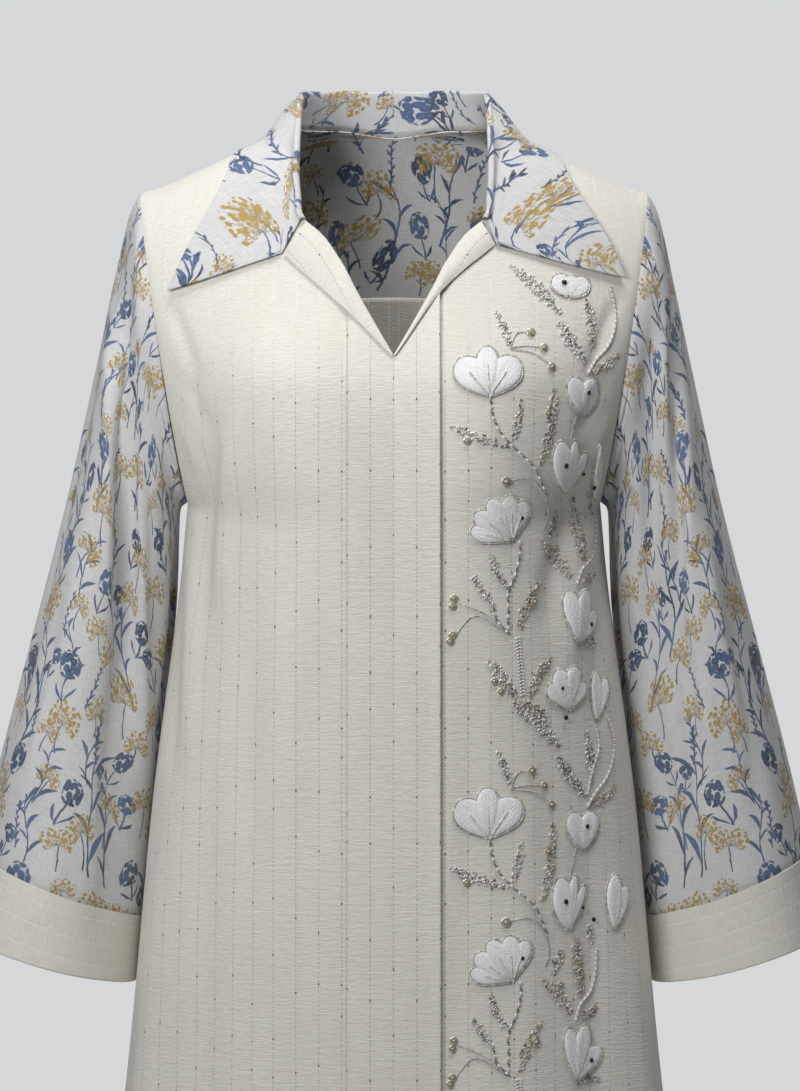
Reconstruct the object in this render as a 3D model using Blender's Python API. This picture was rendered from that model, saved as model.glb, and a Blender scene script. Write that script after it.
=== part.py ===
"""A jalabiya: a long loose robe worn open at the neck, hollow, as it hangs from a wearer's shoulders.

Metres, +Z up. The front faces -Y and the wearer's left is +X. The origin lies midway between the
shoulders on the shoulder line, where the wearer holds the robe up.
"""
import math

import bmesh
import bpy
import numpy as np
from mathutils import Vector
from mathutils.bvhtree import BVHTree

# Cloth
WALL = 0.0016
CUFF_WALL = 0.0024
CUFF_PROUD = 0.0005
SEAM = 0.0003
LIE = 0.0004
MITRE_LIMIT = 1.5

# Neck opening: half its width in the front view, from the neck point up to the shoulder
NECK_HALF_WIDTH = 0.075
NECK_POINT_Z = -0.2005
GORGE_Z = -0.0897
BACK_NECK_DEPTH = 0.058

# Armhole: an ellipse in a plane that leans in towards the underarm
SHOULDER_X, SHOULDER_Z = 0.206, -0.058
UNDERARM_X, UNDERARM_Z = 0.168, -0.310
ARMHOLE_FRONT_DEPTH = 0.072
ARMHOLE_BACK_DEPTH = 0.078

# Rows at which pieces begin and end
BACK_NECK_ROW = 2.0
NECK_POINT_ROW = 4.0
YOKE_ROW = 4.0
UNDERARM_ROW = 7.0
CUFF_ROW = 7.0
CUFF_END_ROW = 8.0

BAND_HALF_WIDTH = 0.036
BAND_TOP_DROP = 0.0008
BAND_HEM_RISE = 0.002


def table(names, *rows):
    """Columns by name, from one tuple for each section or fold."""
    return {name: np.array(column, float) for name, column in zip(names.split(), zip(*rows))}


NECK = table(
    "z half_width",
    (NECK_POINT_Z, 0.0000),
    (-0.1780, 0.0129),
    (-0.1470, 0.0298),
    (-0.1187, 0.0444),
    (-0.0985, 0.0593),
    (GORGE_Z, 0.0694),
    (-0.0700, 0.0735),
    (-0.0300, NECK_HALF_WIDTH),
    (0.0200, NECK_HALF_WIDTH),
)

# The front and back, a row for each line from the centre out to the armhole or side seam.
# arc is how far round its ellipse the line turns, in degrees.
FRONT_ROWS = table(
    "row angle centre_y centre_z arc",
    (0, 0, 0.000, 0.0055, 30),
    (1, 24, -0.036, -0.006, 38),
    (2, 44, -0.066, -0.044, 46),
    (3, 64, -0.093, -0.112, 54),
    (4, 90, -0.117, NECK_POINT_Z, 62),
    (5, 115, -0.124, -0.240, 70),
    (6, 146, -0.126, -0.292, 80),
    (7, 180, -0.126, -0.335, 88),
    (8, 180, -0.126, -0.400, 90),
    (9, 180, -0.129, -0.560, 90),
    (10, 180, -0.138, -0.780, 90),
    (11, 180, -0.154, -1.080, 90),
    (12, 180, -0.172, -1.380, 90),
)
BACK_ROWS = table(
    "row angle centre_y centre_z arc",
    (0, 0, 0.000, 0.0055, 30),
    (1, 24, 0.032, 0.005, 38),
    (2, 44, BACK_NECK_DEPTH, -0.005, 46),
    (3, 64, 0.080, -0.060, 54),
    (4, 90, 0.094, -0.135, 62),
    (5, 115, 0.099, -0.205, 70),
    (6, 146, 0.100, -0.275, 80),
    (7, 180, 0.100, -0.330, 88),
    (8, 180, 0.101, -0.400, 90),
    (9, 180, 0.107, -0.560, 90),
    (10, 180, 0.119, -0.780, 90),
    (11, 180, 0.140, -1.080, 90),
    (12, 180, 0.164, -1.380, 90),
)
HEM_Z = -1.380
SHOULDER_STRAIGHTNESS = 0.5
SIDE_SEAM = table(
    "row x z",
    (7, UNDERARM_X, UNDERARM_Z),
    (8, 0.176, -0.392),
    (9, 0.197, -0.558),
    (10, 0.218, -0.780),
    (11, 0.254, -1.080),
    (12, 0.290, HEM_Z),
)

# The wearer's bust, as the cloth passes over it and hangs from it
BUST_X, BUST_Z = 0.082, -0.228
BUST_RISE, BUST_SPREAD = 0.017, 0.062
BUST_ABOVE, BUST_BELOW = 0.070, 0.300
BUST_BETWEEN = 0.25
BUST_SIDE_FADE = 0.35

# Hanging folds: place round the panel from its centre (0) to the side seam (1)
FRONT_FOLDS = table(
    "place width top hem_rise",
    (0.30, 0.11, -0.48, 0.013),
    (0.52, 0.10, -0.62, -0.011),
    (0.73, 0.10, -0.40, 0.016),
    (0.90, 0.08, -0.80, -0.008),
)
BACK_FOLDS = table(
    "place width top hem_rise",
    (0.00, 0.12, -0.30, -0.014),
    (0.26, 0.10, -0.36, 0.016),
    (0.48, 0.09, -0.50, -0.012),
    (0.70, 0.10, -0.42, 0.014),
)
FOLD_LENGTH = 0.85
FOLD_SEAM_FADE = 0.12
FOLD_BAND_FADE = 0.03

# Sleeve sections from the armhole to the cuff seam, then the cuff to its edge
SLEEVE = table(
    "row outer_x outer_z inner_x inner_z front back groove groove_angle",
    (0, SHOULDER_X, SHOULDER_Z, UNDERARM_X, UNDERARM_Z, ARMHOLE_FRONT_DEPTH, ARMHOLE_BACK_DEPTH, 0, 84),
    (1, 0.2150, -0.0760, 0.1748, -0.3165, 0.0735, 0.079, 0.04, 86),
    (2, 0.2250, -0.1170, 0.1770, -0.3400, 0.0730, 0.078, 0.12, 90),
    (3, 0.2450, -0.2100, 0.1790, -0.3920, 0.0700, 0.075, 0.19, 98),
    (4, 0.2660, -0.3050, 0.1838, -0.4420, 0.0690, 0.074, 0.21, 108),
    (5, 0.2900, -0.4000, 0.1915, -0.5020, 0.0700, 0.074, 0.20, 118),
    (6, 0.3180, -0.5070, 0.1995, -0.5720, 0.0720, 0.075, 0.15, 127),
    (7, 0.3380, -0.5920, 0.2063, -0.6480, 0.0740, 0.076, 0.06, 132),
    (8, 0.3530, -0.6540, 0.2113, -0.7010, 0.0760, 0.078, 0.03, 134),
)
GROOVE_WIDTH = 20.0
SLEEVE_SET_BACK = 0.022
SLEEVE_FOLDS = table(
    "angle width rise",
    (28, 16, -0.055),
    (62, 15, 0.035),
    (236, 20, -0.10),
    (276, 18, 0.05),
    (318, 18, -0.08),
)

# Rows and columns of the walls. The seams' half widths are given in rows, from a row's width there.
SHOULDER_ROW_WIDTH, YOKE_ROW_WIDTH = 0.033, 0.075
SHOULDER_SEAM_ROW = SEAM / 2 / SHOULDER_ROW_WIDTH
YOKE_SEAM_ROWS = SEAM / 2 / YOKE_ROW_WIDTH
FRONT_GRID = (0.35, 0.75, 1.2, 1.7, 2.3, 2.9, 3.45, 4.0, 4.4, 4.8, 5.2, 5.6, 6.0, 6.5, UNDERARM_ROW)
YOKE_GRID = (0.4, 0.9, 1.4, 1.75, 2.0, 2.6, 3.3)
BACK_GRID = (4.6, 5.3, 6.1, UNDERARM_ROW)
SKIRT_GRID = (7.5, 8, 8.5, 9, 9.4, 9.8, 10.2, 10.6, 11, 11.5, 12)
SLEEVE_GRID = (0, 0.6, 1.2, 2, 2.7, 3.4, 4.1, 4.8, 5.5, 6.2, CUFF_ROW)
CUFF_GRID = (CUFF_ROW, 7.5, CUFF_END_ROW)
FRONT_COLUMNS = 13
BACK_COLUMNS = 12
YOKE_COLUMNS = 10

# Lapels, the neck facings turned out. The notch is where lapel and collar edges meet; the skews
# are how far the wearer's left side differs from the mean, and the right side the other way.
NOTCH_X, NOTCH_Z = 0.0832, -0.1165
NOTCH_SKEW_X, NOTCH_SKEW_Z = -0.0032, 0.0036
LAPEL_BOW, LAPEL_BOW_SKEW = 0.0055, 0.0028
LAPEL_PUFF = 0.0026
LAPEL_LIE = 0.0007
LAPEL_SHARES = np.linspace(0.12, 0.988, 12)

# Collar, a station for each line across it, from the gorge (0) over the shoulder line (0.5) to
# the centre back (1). stand is its height inside the roll; edge is where its outer edge lies.
COLLAR = table(
    "station stand edge_x edge_y edge_z skew_x skew_z",
    (0.00, 0.0015, 0.1805, -0.077, -0.1395, 0.0031, 0.0056),
    (0.16, 0.0050, 0.1630, -0.068, -0.1030, 0.0052, 0.0010),
    (0.32, 0.0150, 0.1350, -0.046, -0.0580, 0.0030, 0.0),
    (0.50, 0.0270, 0.1165, 0.000, -0.0215, 0.0, 0.0),
    (0.66, 0.0292, 0.0980, 0.046, -0.0240, 0.0, 0.0),
    (0.82, 0.0312, 0.0640, 0.075, -0.0520, 0.0, 0.0),
    (1.00, 0.0368, 0.0000, 0.095, -0.0720, 0.0, 0.0),
)
COLLAR_FOOT_LIE = 0.0006
COLLAR_ROLL = 0.0016
COLLAR_LEAN = 0.10
COLLAR_FRONT = 0.3
COLLAR_SETTLES = 0.3
COLLAR_LIE = 0.0011
COLLAR_TIP_LIFT = 0.0022
COLLAR_EDGE_BOW = 0.0025
NOTCH_SHARE = 0.2
FALL_SHARES = (0.1, NOTCH_SHARE, 0.36, 0.56, 0.78, 1.0)

# Raised flowers on the wearer's left front: centre, half height, half width, lean in degrees
FLOWER_REPEAT = 0.340
FLOWERS = table(
    "x z height width lean petals",
    (0.0725, -0.2118, 0.0205, 0.0285, 2, 3),
    (0.1480, -0.2280, 0.0175, 0.0150, 8, 2),
    (0.1365, -0.2840, 0.0225, 0.0165, 0, 3),
    (0.1760, -0.2870, 0.0235, 0.0140, -6, 3),
    (0.0825, -0.3258, 0.0195, 0.0260, 26, 3),
    (0.1460, -0.4010, 0.0225, 0.0190, -8, 3),
    (0.1350, -0.4570, 0.0185, 0.0165, 6, 3),
    (0.1630, -0.4640, 0.0215, 0.0100, -6, 2),
)
UNDER_COLLAR_FLOWER = {"x": 0.138, "z": -0.1435, "height": 0.0080, "width": 0.0190, "lean": -6, "petals": 3}
ARMHOLE_FLOWER_X, ARMHOLE_FLOWER_WIDTH = 0.1605, 0.0055
FLOWER_RISE = 0.0022
FLOWER_EDGE = 0.0011
FLOWER_LIE = 0.0004
FLOWER_POINTS = 24
FLOWER_CROWN = 0.55
HEM_MARGIN = 0.03

CREAM = (0.80, 0.75, 0.64)
PRINT_GROUND = (0.66, 0.66, 0.68)
APPLIQUE_WHITE = (0.88, 0.88, 0.87)


# Curves and surfaces

def through(columns, name, at, key="row"):
    """The smooth curve through a table's column, read at these places along its key column."""
    x, y = columns[key], columns[name]
    at = np.clip(np.asarray(at, float), x[0], x[-1])
    slope = np.gradient(y, x)
    i = np.clip(np.searchsorted(x, at, side="right") - 1, 0, len(x) - 2)
    h = x[i + 1] - x[i]
    t = (at - x[i]) / h
    return ((2 * t**3 - 3 * t**2 + 1) * y[i] + (t**3 - 2 * t**2 + t) * h * slope[i]
            + (3 * t**2 - 2 * t**3) * y[i + 1] + (t**3 - t**2) * h * slope[i + 1])


def bell(distance, width):
    """1 at no distance, falling smoothly to nothing over about twice the width."""
    return np.exp(-(distance / width) ** 2)


def ease(share):
    """0 to 1 with level ends."""
    t = np.clip(share, 0, 1)
    return t * t * (3 - 2 * t)


def unit(vectors):
    return vectors / np.linalg.norm(vectors, axis=-1, keepdims=True)


def stack(x, y, z):
    return np.stack(np.broadcast_arrays(x, y, z), axis=-1)


def armhole(angle):
    """The armhole's ellipse: 0 degrees is the shoulder point, 90 the front, 180 the underarm."""
    a = np.radians(angle)
    share = (1 - np.cos(a)) / 2
    depth = np.where(np.sin(a) >= 0, -ARMHOLE_FRONT_DEPTH, -ARMHOLE_BACK_DEPTH)
    return stack(SHOULDER_X + (UNDERARM_X - SHOULDER_X) * share,
                 depth * np.sin(a),
                 SHOULDER_Z + (UNDERARM_Z - SHOULDER_Z) * share)


def armhole_angle(rows, row):
    """Where a row of the front or back meets the armhole, the back's angles being negative."""
    side = -1 if rows is BACK_ROWS else 1
    return side * np.clip(through(rows, "angle", row), 0, 180)


def panel_edge(rows, row):
    """Where a row of the front or back ends: on the armhole, or on the side seam below it."""
    seam = stack(through(SIDE_SEAM, "x", row), 0.0, through(SIDE_SEAM, "z", row))
    return np.where((np.asarray(row) <= UNDERARM_ROW)[..., None], armhole(armhole_angle(rows, row)), seam)


def bust(x, z):
    """How far the cloth stands out over the bust, and hangs away below it."""
    reach = np.where(z > BUST_Z, BUST_ABOVE, BUST_BELOW)
    across = bell(np.abs(x) - BUST_X, BUST_SPREAD) + BUST_BETWEEN * bell(x, BUST_SPREAD)
    return BUST_RISE * across * bell(z - BUST_Z, reach)


def folds(columns, place, z):
    """How far the hanging folds stand out at this place round the panel."""
    out = np.zeros(np.broadcast(place, z).shape)
    for where, width, top, rise in zip(*(columns[k] for k in ("place", "width", "top", "hem_rise"))):
        out = out + rise * ease((top - z) / FOLD_LENGTH) * bell(place - where, width)
    return out * ease((1 - np.asarray(place)) / FOLD_SEAM_FADE)


def body(rows, turn, row):
    """A point of the front or back, turn degrees round its row from the centre, for the +X side."""
    arc = np.radians(through(rows, "arc", row))
    edge = panel_edge(rows, row)
    t = np.radians(turn)
    inward = np.clip((np.cos(t) - np.cos(arc)) / (1 - np.cos(arc)), 0, 1)
    straight = inward ** (1 + SHOULDER_STRAIGHTNESS * (1 - ease(np.asarray(row) / 2)))
    x = edge[..., 0] * np.sin(t) / np.sin(arc)
    y = edge[..., 1] + (through(rows, "centre_y", row) - edge[..., 1]) * inward
    z = edge[..., 2] + (through(rows, "centre_z", row) - edge[..., 2]) * straight
    place = t / arc
    if rows is FRONT_ROWS:
        y = y - bust(x, z) * ease((1 - place) / BUST_SIDE_FADE) * ease(np.asarray(row) / 2)
        out = folds(FRONT_FOLDS, place, z) * ease((np.abs(x) - BAND_HALF_WIDTH) / FOLD_BAND_FADE)
        return stack(x + out * np.sin(t), y - out * np.cos(t), z)
    out = folds(BACK_FOLDS, place, z)
    return stack(x + out * np.sin(t), y + out * np.cos(t), z)


def sleeve(angle, row):
    """A point of a sleeve or cuff, for the +X side: 0 degrees is the outer line, 90 the front.

    Its inner line is set back a little, so that it passes just behind the front's side.
    """
    a = np.radians(angle)
    share = (1 - np.cos(a)) / 2
    outer_x, outer_z = through(SLEEVE, "outer_x", row), through(SLEEVE, "outer_z", row)
    inner_x, inner_z = through(SLEEVE, "inner_x", row), through(SLEEVE, "inner_z", row)
    depth = np.where(np.sin(a) >= 0, -through(SLEEVE, "front", row), -through(SLEEVE, "back", row))
    wrapped = np.mod(angle, 360)
    shrink = through(SLEEVE, "groove", row) * bell(wrapped - through(SLEEVE, "groove_angle", row), GROOVE_WIDTH)
    grow = ease(np.asarray(row) / 3.0) * (1 - 0.65 * ease((np.asarray(row) - 5.5) / 1.5))
    for where, width, rise in zip(*(SLEEVE_FOLDS[k] for k in ("angle", "width", "rise"))):
        shrink = shrink - rise * grow * bell(wrapped - where, width)
    mid_x, mid_z = (outer_x + inner_x) / 2, (outer_z + inner_z) / 2
    x = outer_x + (inner_x - outer_x) * share
    z = outer_z + (inner_z - outer_z) * share
    keep = 1 - shrink
    y = depth * np.sin(a) * keep + SLEEVE_SET_BACK * ease(np.asarray(row) / 3.0) * share**2
    return stack(mid_x + (x - mid_x) * keep, y, mid_z + (z - mid_z) * keep)


def normals(surface, a, b, step_a, step_b):
    """Unit normals of a surface of two parameters, from small steps either way."""
    along_a = surface(a + step_a, b) - surface(a - step_a, b)
    along_b = surface(a, b + step_b) - surface(a, b - step_b)
    return unit(np.cross(along_a, along_b))


def sleeve_normals(angle, row):
    row = np.maximum(row, 0.02)
    return normals(sleeve, angle, np.broadcast_to(row, np.shape(angle)), 0.5, 0.02)


def body_normals(rows, turn, row):
    """Outward normals of the front or back."""
    row = np.clip(row, 0.03, 11.98)
    turn = np.minimum(turn, through(rows, "arc", row) - 0.4)
    out = normals(lambda a, b: body(rows, a, b), turn, row, 0.3, 0.02)
    return -out if rows is FRONT_ROWS else out


def armhole_seam(rows, row):
    """The mitre of body and sleeve at the armhole, one wall thick, beside these rows."""
    row = np.asarray(row, float)
    angle = armhole_angle(rows, row)
    both = body_normals(rows, through(rows, "arc", row), row) + sleeve_normals(angle, np.zeros_like(angle))
    both[..., 1] = np.where((row < 0.2) | (row >= UNDERARM_ROW), 0, both[..., 1])
    length = np.linalg.norm(both, axis=-1, keepdims=True)
    return both / length * np.minimum(2 / length, MITRE_LIMIT)


# The neck edge

def neck_x(z):
    """Half the width of the neck opening in the front view, at this height."""
    return through(NECK, "half_width", z, "z")


def neck_turn(rows, row):
    """Degrees round this row at which it meets the neck edge, or the centre gap below it."""
    low, high = 0.0, float(through(rows, "arc", row))

    def outside(turn):
        x, y, z = body(rows, np.array(turn), np.array(float(row)))
        if rows is FRONT_ROWS:
            return x > max(float(neck_x(z)), SEAM / 2)
        reach = max(0.0, 1 - (y / BACK_NECK_DEPTH) ** 2)
        return x > NECK_HALF_WIDTH * math.sqrt(reach) if y < BACK_NECK_DEPTH else x >= 0
    if outside(0.0):
        return 0.0
    for _ in range(40):
        middle = (low + high) / 2
        low, high = (low, middle) if outside(middle) else (middle, high)
    return high


def gorge_row():
    """The front row whose neck edge is at the gorge's height."""
    low, high = 0.0, NECK_POINT_ROW
    for _ in range(30):
        middle = (low + high) / 2
        turn = neck_turn(FRONT_ROWS, middle)
        above = body(FRONT_ROWS, np.array(turn), np.array(middle))[2] > GORGE_Z
        low, high = (middle, high) if above else (low, middle)
    return low


def neck_line(station):
    """A point of the neck edge and the cloth's normal there, at a station of the collar."""
    if station <= 0.5:
        rows, row = FRONT_ROWS, gorge_row() * (1 - station * 2)
    else:
        rows, row = BACK_ROWS, BACK_NECK_ROW * math.sin(math.pi / 2 * (station * 2 - 1))
    turn = np.array(neck_turn(rows, row))
    return body(rows, turn, np.array(row)), body_normals(rows, turn, np.array(row))


def collar_stations():
    """The stations of the collar, one on each row of the front and yoke that meets the neck edge."""
    gorge = gorge_row()
    front = [0.5 - row / gorge / 2 for row in reversed(FRONT_GRID) if row < gorge]
    back = [0.5 + math.asin(row / BACK_NECK_ROW) / math.pi for row in YOKE_GRID if row <= BACK_NECK_ROW]
    return (0.0, *front, 0.5, *back)


# Solids

def material(name, colour, roughness):
    made = bpy.data.materials.get(name) or bpy.data.materials.new(name)
    made.use_nodes = True
    shader = made.node_tree.nodes["Principled BSDF"]
    shader.inputs["Base Color"].default_value = (*colour, 1)
    shader.inputs["Roughness"].default_value = roughness
    shader.inputs["Metallic"].default_value = 0.0
    return made


def add_object(name, mesh_data, finish, parts):
    """Closes a bmesh into one object of the collection, its faces pointing out."""
    bmesh.ops.recalc_face_normals(mesh_data, faces=mesh_data.faces)
    bmesh.ops.triangulate(mesh_data, faces=mesh_data.faces)
    mesh = bpy.data.meshes.new(name)
    mesh_data.to_mesh(mesh)
    mesh_data.free()
    mesh.shade_smooth()
    mesh.set_sharp_from_angle(angle=math.radians(50))
    mesh.materials.append(finish)
    made = bpy.data.objects.new(name, mesh)
    parts.objects.link(made)
    return made


def loft_wall(name, outer, inner, finish, parts, ring=False):
    """A closed wall between two grids of points. ring joins the last column to the first."""
    rows, columns = outer.shape[:2]
    data = bmesh.new()
    skins = [[[data.verts.new(p) for p in line] for line in grid] for grid in (outer, inner)]
    last = columns if ring else columns - 1
    for j in range(rows - 1):
        for i in range(last):
            k = (i + 1) % columns
            for skin in skins:
                data.faces.new((skin[j][i], skin[j][k], skin[j + 1][k], skin[j + 1][i]))
    for j in (0, rows - 1):
        for i in range(last):
            k = (i + 1) % columns
            data.faces.new((skins[0][j][i], skins[0][j][k], skins[1][j][k], skins[1][j][i]))
    if not ring:
        for i in (0, columns - 1):
            for j in range(rows - 1):
                data.faces.new((skins[0][j][i], skins[1][j][i], skins[1][j + 1][i], skins[0][j + 1][i]))
    return add_object(name, data, finish, parts)


def mirrored(points):
    return points * np.array([-1.0, 1.0, 1.0])


def panel_grids(rows, row_list, columns):
    """Outer and inner points of one half of the front or back, from the centre to its outer seam."""
    row_list = np.asarray(row_list, float)
    start = np.array([neck_turn(rows, row) for row in row_list])
    arc = through(rows, "arc", row_list)
    turn = start[:, None] + (arc - start)[:, None] * np.linspace(0, 1, columns)
    row = np.broadcast_to(row_list[:, None], turn.shape)
    outer = body(rows, turn, row)
    outer[:, -1] += unit(outer[:, -2] - outer[:, -1]) * SEAM / 2
    push = body_normals(rows, turn, row)
    push[row_list < 0.2, :, 1] = 0
    push[row_list > UNDERARM_ROW, -1, 1] = 0
    push[row_list >= NECK_POINT_ROW, 0, 0] = 0
    push = unit(push)
    beside_sleeve = row_list <= UNDERARM_ROW
    push[beside_sleeve, -1] = armhole_seam(rows, row_list[beside_sleeve])
    return outer, outer - WALL * push


def make_fronts(cream, parts):
    rows = (SHOULDER_SEAM_ROW, *FRONT_GRID, *SKIRT_GRID)
    outer, inner = panel_grids(FRONT_ROWS, rows, FRONT_COLUMNS)
    left = loft_wall("front_left", outer, inner, cream, parts)
    right = loft_wall("front_right", mirrored(outer), mirrored(inner), cream, parts)
    return left, right


def make_back(cream, parts):
    rows = (YOKE_ROW + YOKE_SEAM_ROWS, *BACK_GRID, *SKIRT_GRID)
    outer, inner = [np.concatenate([mirrored(half)[:, ::-1], half[:, 1:]], axis=1)
                    for half in panel_grids(BACK_ROWS, rows, BACK_COLUMNS)]
    return loft_wall("back", outer, inner, cream, parts)


def make_yoke(printed, parts):
    """Over the shoulders: two halves, joined where the rows reach the centre below the neck."""
    grid_rows = (SHOULDER_SEAM_ROW, *YOKE_GRID, YOKE_ROW - YOKE_SEAM_ROWS)
    grids = panel_grids(BACK_ROWS, grid_rows, YOKE_COLUMNS)
    joined = [row >= BACK_NECK_ROW for row in grid_rows]
    data = bmesh.new()
    halves = ([], [])
    for grid in grids:
        left = [[data.verts.new(p) for p in line] for line in grid]
        right = [[left[j][i] if i == 0 and joined[j] else data.verts.new(p) for i, p in enumerate(line)]
                 for j, line in enumerate(mirrored(grid))]
        halves[0].append(left)
        halves[1].append(right)
    for skins in halves:
        for j in range(len(grid_rows) - 1):
            for i in range(YOKE_COLUMNS - 1):
                for skin in skins:
                    data.faces.new((skin[j][i], skin[j][i + 1], skin[j + 1][i + 1], skin[j + 1][i]))
            free_edges = (-1,) if joined[j] else (0, -1)
            for i in free_edges:
                data.faces.new((skins[0][j][i], skins[1][j][i], skins[1][j + 1][i], skins[0][j + 1][i]))
        for j in (0, -1):
            for i in range(YOKE_COLUMNS - 1):
                data.faces.new((skins[0][j][i], skins[0][j][i + 1], skins[1][j][i + 1], skins[1][j][i]))
    return add_object("yoke", data, printed, parts)


def sleeve_columns():
    """The angles of the sleeve's columns and its mitre at each, shared with the rows beside it."""
    back_rows = sorted((*YOKE_GRID, YOKE_ROW, *BACK_GRID[:-1]), reverse=True)
    columns = [(FRONT_ROWS, 0.0)] + [(FRONT_ROWS, row) for row in FRONT_GRID]
    columns += [(BACK_ROWS, row) for row in back_rows]
    angle = [float(armhole_angle(rows, row)) % 360 for rows, row in columns]
    mitre = [armhole_seam(rows, np.array([row]))[0] for rows, row in columns]
    return np.array(angle), np.array(mitre)


def make_sleeves(cream, printed, parts):
    angle, mitre = sleeve_columns()
    for rows, wall, proud, name, finish in ((SLEEVE_GRID, WALL, 0.0, "sleeve", printed),
                                            (CUFF_GRID, CUFF_WALL, CUFF_PROUD, "cuff", cream)):
        a, r = np.meshgrid(angle, rows)
        points = sleeve(a, r)
        points[0] += unit(points[1] - points[0]) * SEAM / 2
        if name == "sleeve":
            points[-1] += unit(points[-2] - points[-1]) * SEAM / 2
        push = sleeve_normals(a, r)
        outer = points + proud * push
        if name == "sleeve":
            push[0] = mitre
        inner = outer - wall * push
        loft_wall(f"{name}_left", outer, inner, finish, parts, ring=True)
        loft_wall(f"{name}_right", mirrored(outer), mirrored(inner), finish, parts, ring=True)


# What lies on the body

def skin_tree(walls):
    """The outer skins of these walls, whose points are the first half of each mesh's."""
    points, faces = [], []
    for wall in walls:
        start = len(points)
        outer_count = len(wall.data.vertices) // 2
        points += [vertex.co.copy() for vertex in wall.data.vertices]
        faces += [[start + i for i in face.vertices] for face in wall.data.polygons
                  if max(face.vertices) < outer_count]
    return BVHTree.FromPolygons(points, faces)


def set_on(tree, x, z, rise):
    """Points of the skin moved out by rise, at these places of the front view."""
    rise = np.broadcast_to(rise, np.shape(x))
    out = np.zeros((*np.shape(x), 3))
    for index in np.ndindex(np.shape(x)):
        hit, normal, _, _ = tree.ray_cast(Vector((x[index], -1.0, z[index])), Vector((0, 1, 0)))
        if hit is None:
            hit, normal = beside_skin(tree, x[index], z[index])
        out[index] = np.array(hit) + np.array(normal) * rise[index]
    return out


def beside_skin(tree, x, z):
    """A place just past the skin's edge, as deep as the skin nearest to it, and that skin's normal."""
    y = -0.1
    for _ in range(4):
        near, normal, _, _ = tree.find_nearest(Vector((x, y, z)))
        y = near.y
    return Vector((x, y, z)), normal


def height_over(tree, point):
    """How far a point stands over the skin, or None beside its edge, with the skin there."""
    near, normal, _, _ = tree.find_nearest(Vector(point))
    near, normal = np.array(near), np.array(normal)
    height = float(np.dot(point - near, normal))
    beside = np.linalg.norm(point - near - height * normal)
    return (None if beside > 0.002 else height), near, normal


def lift_clear(under, tree, gap, out, first_column=0):
    """Moves a grid's points out until the facets between them stay this far over the skin."""
    shares = np.linspace(0, 1, 4)
    for _ in range(4):
        short = np.zeros(under.shape[:2])
        for j in range(under.shape[0] - 1):
            for i in range(first_column, under.shape[1] - 1):
                quad = under[j:j + 2, i:i + 2]
                for u in shares:
                    for v in shares:
                        across = quad[:, 0] * (1 - v) + quad[:, 1] * v
                        height = height_over(tree, across[0] * (1 - u) + across[1] * u)[0]
                        if height is not None and height < gap:
                            short[j:j + 2, i:i + 2] = np.maximum(short[j:j + 2, i:i + 2], gap - height)
        under = under + out * short[..., None]
    return under


def grid_normals(points, toward):
    """Unit normals of a grid of points, on the side that toward names for its last point."""
    push = unit(np.cross(np.gradient(points, axis=1), np.gradient(points, axis=0)))
    return push if np.dot(push[points.shape[0] // 2, -1], toward) > 0 else -push


def make_band(tree, cream, parts):
    """The straight band down the centre front, its top cut to the neck opening."""
    x = np.linspace(-1, 1, 7) * BAND_HALF_WIDTH
    top = np.interp(np.abs(x), NECK["half_width"], NECK["z"]) - BAND_TOP_DROP
    hem = HEM_Z + BAND_HEM_RISE
    share = np.linspace(0, 1, 32)[:, None] ** 1.1
    z = top + (hem - top) * share
    x = np.broadcast_to(x, z.shape)
    beside_gap = np.where(np.abs(x) < SEAM, 3 * SEAM, x)
    under = set_on(tree, beside_gap, z, LIE)
    under[..., 0] = x
    under = lift_clear(under, tree, LIE, np.array([0.0, -1.0, 0.0]))
    outer = under + WALL * grid_normals(under, (0, -1, 0))
    return loft_wall("front_band", outer, under, cream, parts)


def notch(side):
    """The notch in the front view, for the wearer's left (1) or right (-1), as if on the +X side."""
    return np.array([NOTCH_X + side * NOTCH_SKEW_X, NOTCH_Z + side * NOTCH_SKEW_Z])


def make_lapel(name, side, tree, cream, parts):
    """A neck facing turned out: widest at the gorge and tapering to the neck point."""
    share = LAPEL_SHARES[:, None]
    fold_z = NECK_POINT_Z + (GORGE_Z - NECK_POINT_Z) * share
    point = np.array([0.0, NECK_POINT_Z])
    line = notch(side) - point
    toward_fold = np.array([-line[1], line[0]]) / np.linalg.norm(line)
    bow = (LAPEL_BOW + side * LAPEL_BOW_SKEW) * np.sin(math.pi * share ** 1.3)
    edge = point + line * share + toward_fold * bow
    across = np.linspace(0, 1, 4)[None, :]
    x = neck_x(fold_z) + (edge[:, :1] - neck_x(fold_z)) * across + 2 * SEAM
    z = fold_z + (edge[:, 1:] - fold_z) * across - 2 * SEAM
    puff = LAPEL_PUFF * np.sin(math.pi * across) * share
    under = set_on(tree, x, z, LAPEL_LIE)
    under[..., 1] -= puff
    under = lift_clear(under, tree, LAPEL_LIE, np.array([0.0, -1.0, 0.0]))
    outer = under + WALL * grid_normals(under, (0, -1, 0))
    if side < 0:
        under, outer = mirrored(under), mirrored(outer)
    return loft_wall(name, outer, under, cream, parts)


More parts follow.
